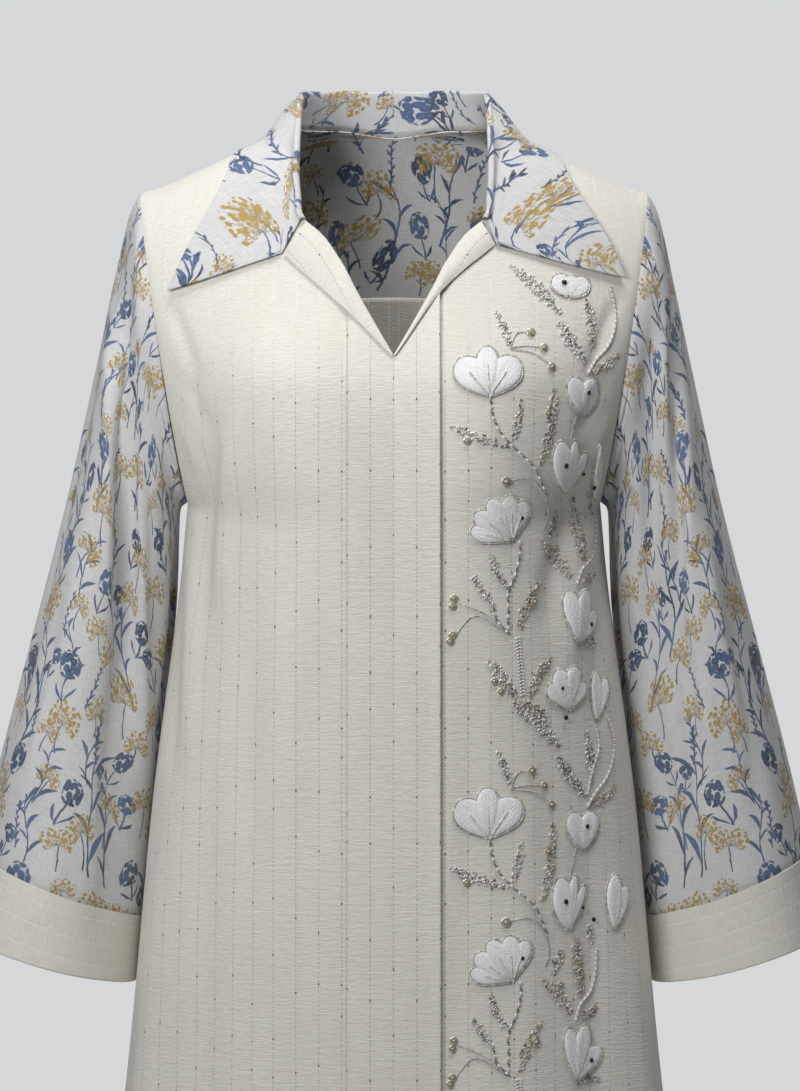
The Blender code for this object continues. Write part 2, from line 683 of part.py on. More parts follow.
def collar_section(tree, station, side):
    """The collar's underside across one station, as if on the +X side: foot, stand, roll and fall."""
    seam, cloth = neck_line(station)
    stand = float(through(COLLAR, "stand", station, "station"))
    edge = np.array([float(through(COLLAR, key, station, "station")) for key in ("edge_x", "edge_y", "edge_z")])
    edge[0] += side * float(through(COLLAR, "skew_x", station, "station"))
    edge[2] += side * float(through(COLLAR, "skew_z", station, "station"))
    up = np.array([0.0, 0.0, 1.0])
    behind = max(seam[1], 0.0)
    away = unit(np.array([max(seam[0], 0.0) / NECK_HALF_WIDTH**2, behind / BACK_NECK_DEPTH**2, 0.0]))
    front = 1 - float(ease(station / COLLAR_FRONT))
    rise = unit(cloth * front + up * (1 - front))
    foot = seam + away * WALL * abs(cloth[2]) + cloth * COLLAR_FOOT_LIE
    top = foot + rise * stand - away * stand * COLLAR_LEAN
    points = [foot, (foot + top) / 2]
    for degrees in (180, 120, 60, 0):
        a = math.radians(degrees)
        points.append(top + away * COLLAR_ROLL * (1 + math.cos(a)) + rise * COLLAR_ROLL * math.sin(a))
    roll = points[-1]
    x, z = notch(side)
    to_notch = np.array([x, 0, z]) - (roll + (edge - roll) * NOTCH_SHARE)
    to_notch[1] = 0
    for share in FALL_SHARES:
        beyond = (share - NOTCH_SHARE) / (1 - NOTCH_SHARE)
        near_notch = share / NOTCH_SHARE if share < NOTCH_SHARE else 1 - beyond
        bow = COLLAR_EDGE_BOW * math.sin(math.pi * max(beyond, 0.0))
        point = roll + (edge - roll) * share + (to_notch * near_notch - up * bow) * front
        _, near, normal = height_over(tree, point)
        want = COLLAR_LIE + COLLAR_TIP_LIFT * share * front
        settled = float(ease((share - COLLAR_SETTLES) / (1 - COLLAR_SETTLES)))
        height = max(want, float(np.dot(point - near, normal)) * (1 - settled) + want * settled)
        points.append(near + normal * height)
    return np.array(points)


def make_collar(tree, printed, parts):
    left, right = [np.array([collar_section(tree, station, side) for station in collar_stations()])
                   for side in (1, -1)]
    under = np.concatenate([left, mirrored(right)[::-1][1:]], axis=0)
    first_fall = under.shape[1] - len(FALL_SHARES)
    push = grid_normals(under, (0, 1, 0))
    under = lift_clear(under, tree, COLLAR_LIE, push, first_fall)
    outer = under + WALL * grid_normals(under, (0, 1, 0))
    return loft_wall("collar", outer, under, printed, parts)


def flower_outline(petals):
    """Petals fanned upwards from a base: angles, distances from the middle, and how near a petal's line."""
    a = np.linspace(0, 2 * math.pi, FLOWER_POINTS, endpoint=False)
    up = (1 + np.sin(a)) / 2
    between = math.pi / 2 if petals == 2 else 0.0
    petal = np.abs(np.cos(3 * (a - math.pi / 2) + between))
    reach = 0.84 - 0.10 * (1 - up) + 0.16 * up * petal - 0.12 * up * (1 - petal)
    return a, reach, 0.7 + 0.3 * up * petal


def make_flower(tree, index, row, white, parts):
    """A thick applique flower, its petals raised and its sole lying on the front."""
    a, reach, relief = flower_outline(row["petals"])
    lean = math.radians(row["lean"])
    rings = []
    for share, rise in ((1.0, 0.0), (1.0, FLOWER_EDGE), (FLOWER_CROWN, FLOWER_RISE), (FLOWER_CROWN, 0.0)):
        across = row["width"] * reach * np.cos(a) * share
        up = row["height"] * reach * np.sin(a) * share
        x = row["x"] + across * math.cos(lean) - up * math.sin(lean)
        z = row["z"] + across * math.sin(lean) + up * math.cos(lean)
        rings.append(set_on(tree, x, z, FLOWER_LIE + rise * (relief if share < 1 else 1)))
    middle = set_on(tree, np.full(2, row["x"]), np.full(2, row["z"]),
                    np.array([FLOWER_LIE + FLOWER_RISE * 0.8, FLOWER_LIE]))
    sole = (rings[0], (rings[0] + rings[3]) / 2, rings[3], (rings[3] + middle[1]) / 2)
    beside = [(ring + np.roll(ring, 1, axis=0)) / 2 for ring in sole]
    heights = [height_over(tree, p)[0] for ring in (*sole, *beside) for p in ring]
    short = max(0.0, FLOWER_LIE - min(h for h in heights if h is not None))
    out = unit(np.mean(rings[1] - rings[0], axis=0)) * short
    data = bmesh.new()
    bottom, top, crown, inner_sole = [[data.verts.new(p + out) for p in ring] for ring in rings]
    peak, foot = [data.verts.new(p + out) for p in middle]
    for i in range(FLOWER_POINTS):
        k = (i + 1) % FLOWER_POINTS
        data.faces.new((bottom[i], bottom[k], top[k], top[i]))
        data.faces.new((top[i], top[k], crown[k], crown[i]))
        data.faces.new((bottom[i], inner_sole[i], inner_sole[k], bottom[k]))
        data.faces.new((crown[i], crown[k], peak))
        data.faces.new((inner_sole[k], inner_sole[i], foot))
    add_object(f"flower_{index:02d}", data, white, parts)


def flower_rows():
    """The flowers of the first repeat and those below it, down to the hem."""
    made = [UNDER_COLLAR_FLOWER]
    for repeat in range(4):
        for i in range(len(FLOWERS["x"])):
            row = {key: float(column[i]) for key, column in FLOWERS.items()}
            if repeat == 0 and row["x"] > UNDERARM_X:
                row["x"], row["width"] = ARMHOLE_FLOWER_X, ARMHOLE_FLOWER_WIDTH
            row["z"] -= FLOWER_REPEAT * repeat
            if row["z"] - row["height"] > HEM_Z + HEM_MARGIN:
                made.append(row)
    return made


def main():
    for thing in list(bpy.data.objects):
        bpy.data.objects.remove(thing, do_unlink=True)
    parts = bpy.data.collections.new("jalabiya")
    bpy.context.scene.collection.children.link(parts)
    cream = material("cream_cloth", CREAM, 0.85)
    printed = material("printed_cloth", PRINT_GROUND, 0.8)
    white = material("applique", APPLIQUE_WHITE, 0.7)
    left, right = make_fronts(cream, parts)
    yoke = make_yoke(printed, parts)
    make_back(cream, parts)
    make_sleeves(cream, printed, parts)
    front_skin = skin_tree([left, right])
    band = make_band(front_skin, cream, parts)
    banded_skin = skin_tree([left, right, band])
    make_lapel("lapel_left", 1, banded_skin, cream, parts)
    make_lapel("lapel_right", -1, banded_skin, cream, parts)
    make_collar(skin_tree([left, right, yoke]), printed, parts)
    for index, row in enumerate(flower_rows(), 1):
        make_flower(front_skin, index, row, white, parts)


main()
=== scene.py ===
import logging
import math
from collections.abc import Callable
from dataclasses import dataclass
from enum import Enum

import bmesh
import bpy
import numpy as np
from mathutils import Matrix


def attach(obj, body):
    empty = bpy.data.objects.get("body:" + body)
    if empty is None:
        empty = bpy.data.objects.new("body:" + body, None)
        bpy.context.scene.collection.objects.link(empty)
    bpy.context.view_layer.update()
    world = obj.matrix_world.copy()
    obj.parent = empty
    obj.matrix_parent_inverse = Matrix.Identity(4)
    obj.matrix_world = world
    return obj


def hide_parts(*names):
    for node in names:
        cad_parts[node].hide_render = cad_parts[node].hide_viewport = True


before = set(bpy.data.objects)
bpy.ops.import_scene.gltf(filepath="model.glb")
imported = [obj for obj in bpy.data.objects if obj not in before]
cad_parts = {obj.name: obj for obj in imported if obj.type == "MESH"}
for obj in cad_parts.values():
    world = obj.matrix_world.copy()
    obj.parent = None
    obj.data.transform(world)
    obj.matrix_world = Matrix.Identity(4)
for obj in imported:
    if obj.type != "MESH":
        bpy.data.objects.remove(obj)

# The looks of a jalabiya: cream striped body, printed sleeves, collar and yoke, and white applique
# with beads down the wearer's left front. Metres, +Z up, front towards -Y, wearer's left at +X.

Array = np.ndarray
Columns = dict[str, Array]
Point = tuple[float, float]

log = logging.getLogger("jalabiya")
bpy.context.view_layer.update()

# Cloth
WALL = 0.0016
SHELL = 0.0012
CUFF_WALL = 0.0024
CUFF_PROUD = 0.0005
SEAM = 0.0003
LIE = 0.0004

# Neck opening
NECK_HALF_WIDTH = 0.075
NECK_POINT_Z = -0.2005
GORGE_Z = -0.0897
BACK_NECK_DEPTH = 0.058

# Armhole
SHOULDER_X, SHOULDER_Z = 0.206, -0.058
UNDERARM_X, UNDERARM_Z = 0.168, -0.310
ARMHOLE_FRONT_DEPTH = 0.072
ARMHOLE_BACK_DEPTH = 0.078

# Rows at which pieces begin and end
BACK_NECK_ROW = 2.0
NECK_POINT_ROW = 4.0
YOKE_ROW = 4.0
UNDERARM_ROW = 7.0
CUFF_ROW = 7.0
CUFF_END_ROW = 8.0
HEM_ROW = 12.0
HEM_Z = -1.380

BAND_HALF_WIDTH = 0.036
BAND_TOP_DROP = 0.0008
BAND_HEM_RISE = 0.002


def table(names: str, *rows: tuple) -> Columns:
    """Columns by name, from one tuple for each section, crease or motif."""
    return {name: np.array(column, float) for name, column in zip(names.split(), zip(*rows))}


def records(columns: Columns) -> list[dict[str, float]]:
    """A table's rows, each with its values by column name."""
    return [dict(zip(columns, map(float, values))) for values in zip(*columns.values())]


NECK = table(
    "z half_width",
    (NECK_POINT_Z, 0.0000),
    (-0.1780, 0.0129),
    (-0.1470, 0.0298),
    (-0.1187, 0.0444),
    (-0.0985, 0.0593),
    (GORGE_Z, 0.0694),
    (-0.0700, 0.0735),
    (-0.0300, NECK_HALF_WIDTH),
    (0.0200, NECK_HALF_WIDTH),
)
FRONT_ROWS = table(
    "row angle centre_y centre_z arc",
    (0, 0, 0.000, 0.0055, 30),
    (1, 24, -0.036, -0.006, 38),
    (2, 44, -0.066, -0.044, 46),
    (3, 64, -0.093, -0.112, 54),
    (4, 90, -0.117, NECK_POINT_Z, 62),
    (5, 115, -0.124, -0.240, 70),
    (6, 146, -0.126, -0.292, 80),
    (7, 180, -0.126, -0.335, 88),
    (8, 180, -0.126, -0.400, 90),
    (9, 180, -0.129, -0.560, 90),
    (10, 180, -0.138, -0.780, 90),
    (11, 180, -0.154, -1.080, 90),
    (12, 180, -0.172, -1.380, 90),
)
BACK_ROWS = table(
    "row angle centre_y centre_z arc",
    (0, 0, 0.000, 0.0055, 30),
    (1, 24, 0.032, 0.005, 38),
    (2, 44, BACK_NECK_DEPTH, -0.005, 46),
    (3, 64, 0.080, -0.060, 54),
    (4, 90, 0.094, -0.135, 62),
    (5, 115, 0.099, -0.205, 70),
    (6, 146, 0.100, -0.275, 80),
    (7, 180, 0.100, -0.330, 88),
    (8, 180, 0.101, -0.400, 90),
    (9, 180, 0.107, -0.560, 90),
    (10, 180, 0.119, -0.780, 90),
    (11, 180, 0.140, -1.080, 90),
    (12, 180, 0.164, -1.380, 90),
)
SHOULDER_STRAIGHTNESS = 0.5
SHOULDER_ROWS = 2
SIDE_SEAM = table(
    "row x z",
    (7, UNDERARM_X, UNDERARM_Z),
    (8, 0.176, -0.392),
    (9, 0.197, -0.558),
    (10, 0.218, -0.780),
    (11, 0.254, -1.080),
    (12, 0.290, HEM_Z),
)
BUST_X, BUST_Z = 0.082, -0.228
BUST_RISE, BUST_SPREAD = 0.017, 0.062
BUST_ABOVE, BUST_BELOW = 0.070, 0.300
BUST_BETWEEN = 0.25
BUST_SIDE_FADE = 0.35
FRONT_FOLDS = table(
    "place width top hem_rise",
    (0.30, 0.11, -0.48, 0.013),
    (0.52, 0.10, -0.62, -0.011),
    (0.73, 0.10, -0.40, 0.016),
    (0.90, 0.08, -0.80, -0.008),
)
BACK_FOLDS = table(
    "place width top hem_rise",
    (0.00, 0.12, -0.30, -0.014),
    (0.26, 0.10, -0.36, 0.016),
    (0.48, 0.09, -0.50, -0.012),
    (0.70, 0.10, -0.42, 0.014),
)
FOLD_LENGTH = 0.85
FOLD_SEAM_FADE = 0.12
FOLD_BAND_FADE = 0.03
SLEEVE = table(
    "row outer_x outer_z inner_x inner_z front back groove groove_angle",
    (0, SHOULDER_X, SHOULDER_Z, UNDERARM_X, UNDERARM_Z, ARMHOLE_FRONT_DEPTH, ARMHOLE_BACK_DEPTH, 0, 84),
    (1, 0.2150, -0.0760, 0.1748, -0.3165, 0.0735, 0.079, 0.04, 86),
    (2, 0.2250, -0.1170, 0.1770, -0.3400, 0.0730, 0.078, 0.12, 90),
    (3, 0.2450, -0.2100, 0.1790, -0.3920, 0.0700, 0.075, 0.19, 98),
    (4, 0.2660, -0.3050, 0.1838, -0.4420, 0.0690, 0.074, 0.21, 108),
    (5, 0.2900, -0.4000, 0.1915, -0.5020, 0.0700, 0.074, 0.20, 118),
    (6, 0.3180, -0.5070, 0.1995, -0.5720, 0.0720, 0.075, 0.15, 127),
    (7, 0.3380, -0.5920, 0.2063, -0.6480, 0.0740, 0.076, 0.06, 132),
    (8, 0.3530, -0.6540, 0.2113, -0.7010, 0.0760, 0.078, 0.03, 134),
)
GROOVE_WIDTH = 20.0
SLEEVE_SET_BACK = 0.022
SHOULDER_CURVE_ROWS = 3.0
FOLDS_EASED, FOLDS_EASE_ROW, FOLDS_EASE_ROWS = 0.65, 5.5, 1.5
SLEEVE_FOLDS = table(
    "angle width rise",
    (28, 16, -0.055),
    (62, 15, 0.035),
    (236, 20, -0.10),
    (276, 18, 0.05),
    (318, 18, -0.08),
)
NOTCH_X, NOTCH_Z = 0.0832, -0.1165
NOTCH_SKEW_X, NOTCH_SKEW_Z = -0.0032, 0.0036
LAPEL_BOW, LAPEL_BOW_SKEW = 0.0055, 0.0028
LAPEL_PUFF = 0.0026
LAPEL_LIE = 0.0007
COLLAR = table(
    "station stand edge_x edge_y edge_z skew_x skew_z",
    (0.00, 0.0015, 0.1805, -0.077, -0.1395, 0.0031, 0.0056),
    (0.16, 0.0050, 0.1630, -0.068, -0.1030, 0.0052, 0.0010),
    (0.32, 0.0150, 0.1350, -0.046, -0.0580, 0.0030, 0.0),
    (0.50, 0.0270, 0.1165, 0.000, -0.0215, 0.0, 0.0),
    (0.66, 0.0292, 0.0980, 0.046, -0.0240, 0.0, 0.0),
    (0.82, 0.0312, 0.0640, 0.075, -0.0520, 0.0, 0.0),
    (1.00, 0.0368, 0.0000, 0.095, -0.0720, 0.0, 0.0),
)
COLLAR_FOOT_LIE = 0.0006
COLLAR_ROLL = 0.0016
COLLAR_LEAN = 0.10
COLLAR_FRONT = 0.3
COLLAR_SETTLES = 0.3
COLLAR_LIE = 0.0011
COLLAR_TIP_LIFT = 0.0022
COLLAR_EDGE_BOW = 0.0025
NOTCH_SHARE = 0.2

# Raised flowers on the wearer's left front: centre, half height, half width, lean in degrees, and
# which of PETALS each one has
FLOWER_REPEAT = 0.340
REPEATS = 4
FLOWERS = table(
    "x z height width lean kind",
    (0.0725, -0.2118, 0.0205, 0.0285, 2, 0),
    (0.1480, -0.2280, 0.0175, 0.0150, 8, 1),
    (0.1365, -0.2840, 0.0225, 0.0165, 0, 2),
    (0.1760, -0.2870, 0.0235, 0.0140, -6, 3),
    (0.0825, -0.3258, 0.0195, 0.0260, 26, 4),
    (0.1460, -0.4010, 0.0225, 0.0190, -8, 5),
    (0.1350, -0.4570, 0.0185, 0.0165, 6, 6),
    (0.1630, -0.4640, 0.0215, 0.0100, -6, 7),
)
UNDER_COLLAR_FLOWER = {"x": 0.138, "z": -0.1435, "height": 0.0080, "width": 0.0190, "lean": -6.0, "kind": 8.0}
ARMHOLE_FLOWER_X, ARMHOLE_FLOWER_WIDTH = 0.1605, 0.0055
FLOWER_LIE = 0.0004
HEM_MARGIN = 0.03


class Side(Enum):
    """A side of the robe, by the sign of x there."""
    LEFT = 1
    RIGHT = -1

    @property
    def word(self) -> str:
        """Its name as the nodes spell it."""
        return self.name.lower()


# Curves and surfaces

def through(columns: Columns, name: str, at: Array, key: str = "row") -> Array:
    """The smooth curve through a table's column, read at these places along its key column.

    Cubic Hermite pieces with central-difference slopes.
    """
    x, y = columns[key], columns[name]
    at = np.clip(np.asarray(at, float), x[0], x[-1])
    slope = np.gradient(y, x)
    i = np.clip(np.searchsorted(x, at, side="right") - 1, 0, len(x) - 2)
    h = x[i + 1] - x[i]
    t = (at - x[i]) / h
    return ((2 * t**3 - 3 * t**2 + 1) * y[i] + (t**3 - 2 * t**2 + t) * h * slope[i]
            + (3 * t**2 - 2 * t**3) * y[i + 1] + (t**3 - t**2) * h * slope[i + 1])


def bell(distance: Array, width: float) -> Array:
    """exp(-(distance / width) squared): 1 at no distance, nothing past about twice the width."""
    return np.exp(-(distance / width) ** 2)


def ease(share: Array) -> Array:
    """0 to 1 with level ends: 3 t squared less 2 t cubed."""
    t = np.clip(share, 0, 1)
    return t * t * (3 - 2 * t)


def unit(vectors: Array) -> Array:
    """Vectors made one long."""
    return vectors / np.linalg.norm(vectors, axis=-1, keepdims=True)


def steps(points: Array, axis: int = 0) -> Array:
    """Distances between neighbours along an axis of a grid or line of points."""
    return np.linalg.norm(np.diff(points, axis=axis), axis=-1)


def running(values: Array) -> Array:
    """Sums of the values before each place, from 0."""
    return np.concatenate([[0], np.cumsum(values)])


def stack(x: Array, y: Array, z: Array) -> Array:
    """Points from their coordinates."""
    return np.stack(np.broadcast_arrays(x, y, z), axis=-1)


def mirrored(points: Array) -> Array:
    """Points on the other side of the robe's middle."""
    return points * np.array([-1.0, 1.0, 1.0])


def armhole(angle: Array) -> Array:
    """The armhole's ellipse: 0 degrees is the shoulder point, 90 the front, 180 the underarm."""
    a = np.radians(angle)
    share = (1 - np.cos(a)) / 2
    depth = np.where(np.sin(a) >= 0, -ARMHOLE_FRONT_DEPTH, -ARMHOLE_BACK_DEPTH)
    return stack(SHOULDER_X + (UNDERARM_X - SHOULDER_X) * share, depth * np.sin(a),
                 SHOULDER_Z + (UNDERARM_Z - SHOULDER_Z) * share)


def panel_edge(rows: Columns, row: Array) -> Array:
    """Where a row of the front or back ends: on the armhole, or on the side seam below it."""
    side = -1 if rows is BACK_ROWS else 1
    angle = side * np.clip(through(rows, "angle", row), 0, 180)
    seam = stack(through(SIDE_SEAM, "x", row), 0.0, through(SIDE_SEAM, "z", row))
    return np.where((np.asarray(row) <= UNDERARM_ROW)[..., None], armhole(angle), seam)


def bust(x: Array, z: Array) -> Array:
    """How far the cloth stands out over the bust: a bell across times a bell up and down."""
    reach = np.where(z > BUST_Z, BUST_ABOVE, BUST_BELOW)
    across = bell(np.abs(x) - BUST_X, BUST_SPREAD) + BUST_BETWEEN * bell(x, BUST_SPREAD)
    return BUST_RISE * across * bell(z - BUST_Z, reach)


def folds(columns: Columns, place: Array, z: Array) -> Array:
    """How far the hanging folds stand out at this place round the panel."""
    out = np.zeros(np.broadcast(place, z).shape)
    for where, width, top, rise in zip(*columns.values()):
        out = out + rise * ease((top - z) / FOLD_LENGTH) * bell(place - where, width)
    return out * ease((1 - np.asarray(place)) / FOLD_SEAM_FADE)


def body(rows: Columns, turn: Array, row: Array) -> Array:
    """A point of the front or back, turn degrees round its row's ellipse, for the +X side.

    x is the edge's x times sin(turn) / sin(arc). y and z go from the edge's to the centre's as
    the cosine of the turn rises, and the bust and the hanging folds are added outwards.
    """
    arc = np.radians(through(rows, "arc", row))
    edge = panel_edge(rows, row)
    past_shoulder = ease(np.asarray(row) / SHOULDER_ROWS)
    t = np.radians(turn)
    inward = np.clip((np.cos(t) - np.cos(arc)) / (1 - np.cos(arc)), 0, 1)
    straight = inward ** (1 + SHOULDER_STRAIGHTNESS * (1 - past_shoulder))
    x = edge[..., 0] * np.sin(t) / np.sin(arc)
    y = edge[..., 1] + (through(rows, "centre_y", row) - edge[..., 1]) * inward
    z = edge[..., 2] + (through(rows, "centre_z", row) - edge[..., 2]) * straight
    place = t / arc
    if rows is FRONT_ROWS:
        y = y - bust(x, z) * ease((1 - place) / BUST_SIDE_FADE) * past_shoulder
        out = folds(FRONT_FOLDS, place, z) * ease((np.abs(x) - BAND_HALF_WIDTH) / FOLD_BAND_FADE)
        return stack(x + out * np.sin(t), y - out * np.cos(t), z)
    out = folds(BACK_FOLDS, place, z)
    return stack(x + out * np.sin(t), y + out * np.cos(t), z)


def sleeve(angle: Array, row: Array) -> Array:
    """A point of a sleeve or cuff, for the +X side: 0 degrees is the outer line, 90 the front.

    An ellipse from the outer to the inner line, shrunk towards its middle by the long groove and
    the folds, which deepen down the sleeve and ease again at the cuff. Its inner line is set back
    a little, so that it passes just behind the front's side.
    """
    a = np.radians(angle)
    share = (1 - np.cos(a)) / 2
    outer_x, outer_z = through(SLEEVE, "outer_x", row), through(SLEEVE, "outer_z", row)
    inner_x, inner_z = through(SLEEVE, "inner_x", row), through(SLEEVE, "inner_z", row)
    depth = np.where(np.sin(a) >= 0, -through(SLEEVE, "front", row), -through(SLEEVE, "back", row))
    wrapped = np.mod(angle, 360)
    from_groove = wrapped - through(SLEEVE, "groove_angle", row)
    shrink = through(SLEEVE, "groove", row) * bell(from_groove, GROOVE_WIDTH)
    hanging = ease(np.asarray(row) / SHOULDER_CURVE_ROWS)
    grow = hanging * (1 - FOLDS_EASED * ease((np.asarray(row) - FOLDS_EASE_ROW) / FOLDS_EASE_ROWS))
    for where, width, rise in zip(*SLEEVE_FOLDS.values()):
        shrink = shrink - rise * grow * bell(wrapped - where, width)
    mid_x, mid_z = (outer_x + inner_x) / 2, (outer_z + inner_z) / 2
    x = outer_x + (inner_x - outer_x) * share
    z = outer_z + (inner_z - outer_z) * share
    keep = 1 - shrink
    y = depth * np.sin(a) * keep + SLEEVE_SET_BACK * hanging * share**2
    return stack(mid_x + (x - mid_x) * keep, y, mid_z + (z - mid_z) * keep)


# Steps, round in degrees and down in rows, for normals and for the search of the nearest point
TURN_NUDGE, ANGLE_NUDGE, ROW_NUDGE = 0.3, 0.5, 0.02
FIRST_NORMAL_ROW, ARC_GUARD = 0.03, 0.4
TURN_STEP, ROW_STEP = 0.05, 0.005
TURN_LIMIT, ROW_LIMIT = 8, 0.5
HALVINGS = 40
LEAST_DETERMINANT = 1e-16
GORGE_SEARCH_ROW, GORGE_SEARCH_COUNT = 1.5, 400


def normals(surface: Callable, a: Array, b: Array, step_a: float, step_b: float) -> Array:
    """Unit normals of a surface of two parameters, from small steps either way."""
    along_a = surface(a + step_a, b) - surface(a - step_a, b)
    along_b = surface(a, b + step_b) - surface(a, b - step_b)
    return unit(np.cross(along_a, along_b))


def sleeve_normals(angle: Array, row: Array) -> Array:
    """Outward normals of the sleeve."""
    row = np.maximum(row, ROW_NUDGE)
    return normals(sleeve, angle, np.broadcast_to(row, np.shape(angle)), ANGLE_NUDGE, ROW_NUDGE)


def body_normals(rows: Columns, turn: Array, row: Array) -> Array:
    """Outward normals of the front or back."""
    row = np.clip(row, FIRST_NORMAL_ROW, HEM_ROW - ROW_NUDGE)
    turn = np.minimum(turn, through(rows, "arc", row) - ARC_GUARD)
    out = normals(lambda a, b: body(rows, a, b), turn, row, TURN_NUDGE, ROW_NUDGE)
    return -out if rows is FRONT_ROWS else out


def neck_x(z: Array) -> Array:
    """Half the width of the neck opening in the front view, at this height."""
    return through(NECK, "half_width", z, "z")


def neck_turn(rows: Columns, row: Array) -> Array:
    """Degrees round each row at which it meets the neck edge or the centre, found by halving."""
    row = np.asarray(row, float)

    def outside(turn: Array) -> Array:
        """Whether a point lies past the neck edge or the centre."""
        x, y, z = np.moveaxis(body(rows, turn, row), -1, 0)
        if rows is FRONT_ROWS:
            return x > np.maximum(neck_x(z), SEAM / 2)
        reach = np.maximum(0.0, 1 - (y / BACK_NECK_DEPTH) ** 2)
        return np.where(y < BACK_NECK_DEPTH, x > NECK_HALF_WIDTH * np.sqrt(reach), x >= 0)

    painted_shade, high = np.zeros_like(row), through(rows, "arc", row)
    from_centre = outside(painted_shade)
    for _ in range(HALVINGS):
        middle = (painted_shade + high) / 2
        over = outside(middle)
        painted_shade, high = np.where(over, painted_shade, middle), np.where(over, middle, high)
    return np.where(from_centre, 0.0, high)


def gorge_row() -> float:
    """The front row whose neck edge is at the gorge's height."""
    row = np.linspace(GORGE_SEARCH_ROW, NECK_POINT_ROW, GORGE_SEARCH_COUNT)
    z = body(FRONT_ROWS, neck_turn(FRONT_ROWS, row), row)[:, 2]
    return float(np.interp(-GORGE_Z, -z, row))


def nearest_on(rows: Columns, points: Array, turn: Array, row: Array, flat: bool,
               tries: int = 14) -> tuple[Array, Array]:
    """Turn and row of the panel's point nearest to each point, by damped Gauss-Newton steps.

    Args:
        rows: the front's or back's sections.
        points: the places to match.
        turn: where each search starts, degrees round the row.
        row: the row where each search starts.
        flat: match only x and z, as seen from the front.
        tries: how many steps to take.
    """
    keep = np.array([1.0, 0.0, 1.0]) if flat else np.ones(3)
    for _ in range(tries):
        here = body(rows, turn, row)
        by_t = (body(rows, turn + TURN_STEP, row) - here) / TURN_STEP * keep
        by_r = (body(rows, turn, row + ROW_STEP) - here) / ROW_STEP * keep
        miss = (points - here) * keep
        tt, rr, tr = (by_t * by_t).sum(-1), (by_r * by_r).sum(-1), (by_t * by_r).sum(-1)
        mt, mr = (by_t * miss).sum(-1), (by_r * miss).sum(-1)
        det = np.maximum(tt * rr - tr * tr, LEAST_DETERMINANT)
        by = np.clip((rr * mt - tr * mr) / det, -TURN_LIMIT, TURN_LIMIT)
        turn = np.clip(turn + by, 0, through(rows, "arc", row))
        by = np.clip((tt * mr - tr * mt) / det, -ROW_LIMIT, ROW_LIMIT)
        row = np.clip(row + by, 0.0, HEM_ROW)
    return turn, row


# Creases: from (p, q) to (p, q) in a piece's own sizes, bowed sideways by bend

CREASE_FADE = 0.35


def creased(columns: Columns, p: Array, q: Array) -> Array:
    """Height of the creases: for each line, its rise times a bell across it, faded at both ends."""
    out = np.zeros(np.broadcast(p, q).shape)
    for p0, q0, p1, q1, rise, width, bend in zip(*columns.values()):
        length = math.hypot(p1 - p0, q1 - q0)
        along = ((p - p0) * (p1 - p0) + (q - q0) * (q1 - q0)) / length**2
        across = ((p - p0) * (q1 - q0) - (q - q0) * (p1 - p0)) / length
        across = across - bend * 4 * along * (1 - along)
        fade = ease(along / CREASE_FADE) * ease((1 - along) / CREASE_FADE)
        out = out + rise * bell(across, width) * fade
    return out


CREASE = "p0 q0 p1 q1 rise width bend"
# On the fronts, across from the centre (the wearer's left positive) and height
FRONT_CREASES = table(
    CREASE,
    (0.150, -0.270, 0.116, -0.430, -0.0042, 0.0085, 0.005),
    (0.164, -0.290, 0.134, -0.480, 0.0030, 0.0090, 0.005),
    (0.172, -0.310, 0.160, -0.520, -0.0030, 0.0070, 0.002),
    (-0.134, -0.225, -0.152, -0.430, -0.0046, 0.0085, 0.005),
    (-0.122, -0.225, -0.136, -0.420, 0.0034, 0.0085, 0.005),
    (-0.158, -0.290, -0.166, -0.540, 0.0034, 0.0080, 0.000),
    (-0.171, -0.330, -0.178, -0.560, -0.0026, 0.0065, 0.000),
    (-0.110, -0.330, -0.118, -0.640, -0.0026, 0.0130, 0.000),
    (-0.085, -0.350, -0.088, -0.760, 0.0022, 0.0140, 0.002),
    (-0.060, -0.380, -0.062, -0.620, -0.0016, 0.0110, 0.000),
    (-0.142, -0.480, -0.150, -0.860, -0.0026, 0.0120, 0.002),
    (0.060, -0.360, 0.058, -0.700, -0.0016, 0.0120, 0.000),
    (0.100, -0.430, 0.104, -0.820, 0.0020, 0.0140, 0.000),
    (0.152, -0.500, 0.164, -0.900, -0.0026, 0.0120, 0.002),
    (0.182, -0.140, 0.150, -0.225, -0.0024, 0.0060, 0.003),
    (-0.183, -0.140, -0.150, -0.235, -0.0024, 0.0060, -0.003),
    (0.170, -0.205, 0.142, -0.268, -0.0024, 0.0055, 0.002),
    (-0.170, -0.205, -0.142, -0.268, -0.0024, 0.0055, -0.002),
    (0.176, -0.235, 0.150, -0.300, 0.0018, 0.0050, 0.002),
    (-0.176, -0.235, -0.150, -0.300, 0.0018, 0.0050, -0.002),
    (-0.096, -0.105, -0.088, -0.205, -0.0012, 0.0070, 0.002),
    (-0.070, -0.700, -0.080, -1.300, -0.0030, 0.0160, 0.004),
    (0.075, -0.720, 0.088, -1.320, 0.0030, 0.0160, 0.004),
    (-0.150, -0.760, -0.172, -1.300, 0.0034, 0.0150, 0.000),
    (0.150, -0.700, 0.178, -1.280, -0.0034, 0.0150, 0.000),
    (-0.048, -0.500, -0.050, -0.980, 0.0013, 0.0080, 0.001),
    (0.048, -0.560, 0.050, -1.100, -0.0013, 0.0080, 0.001),
)
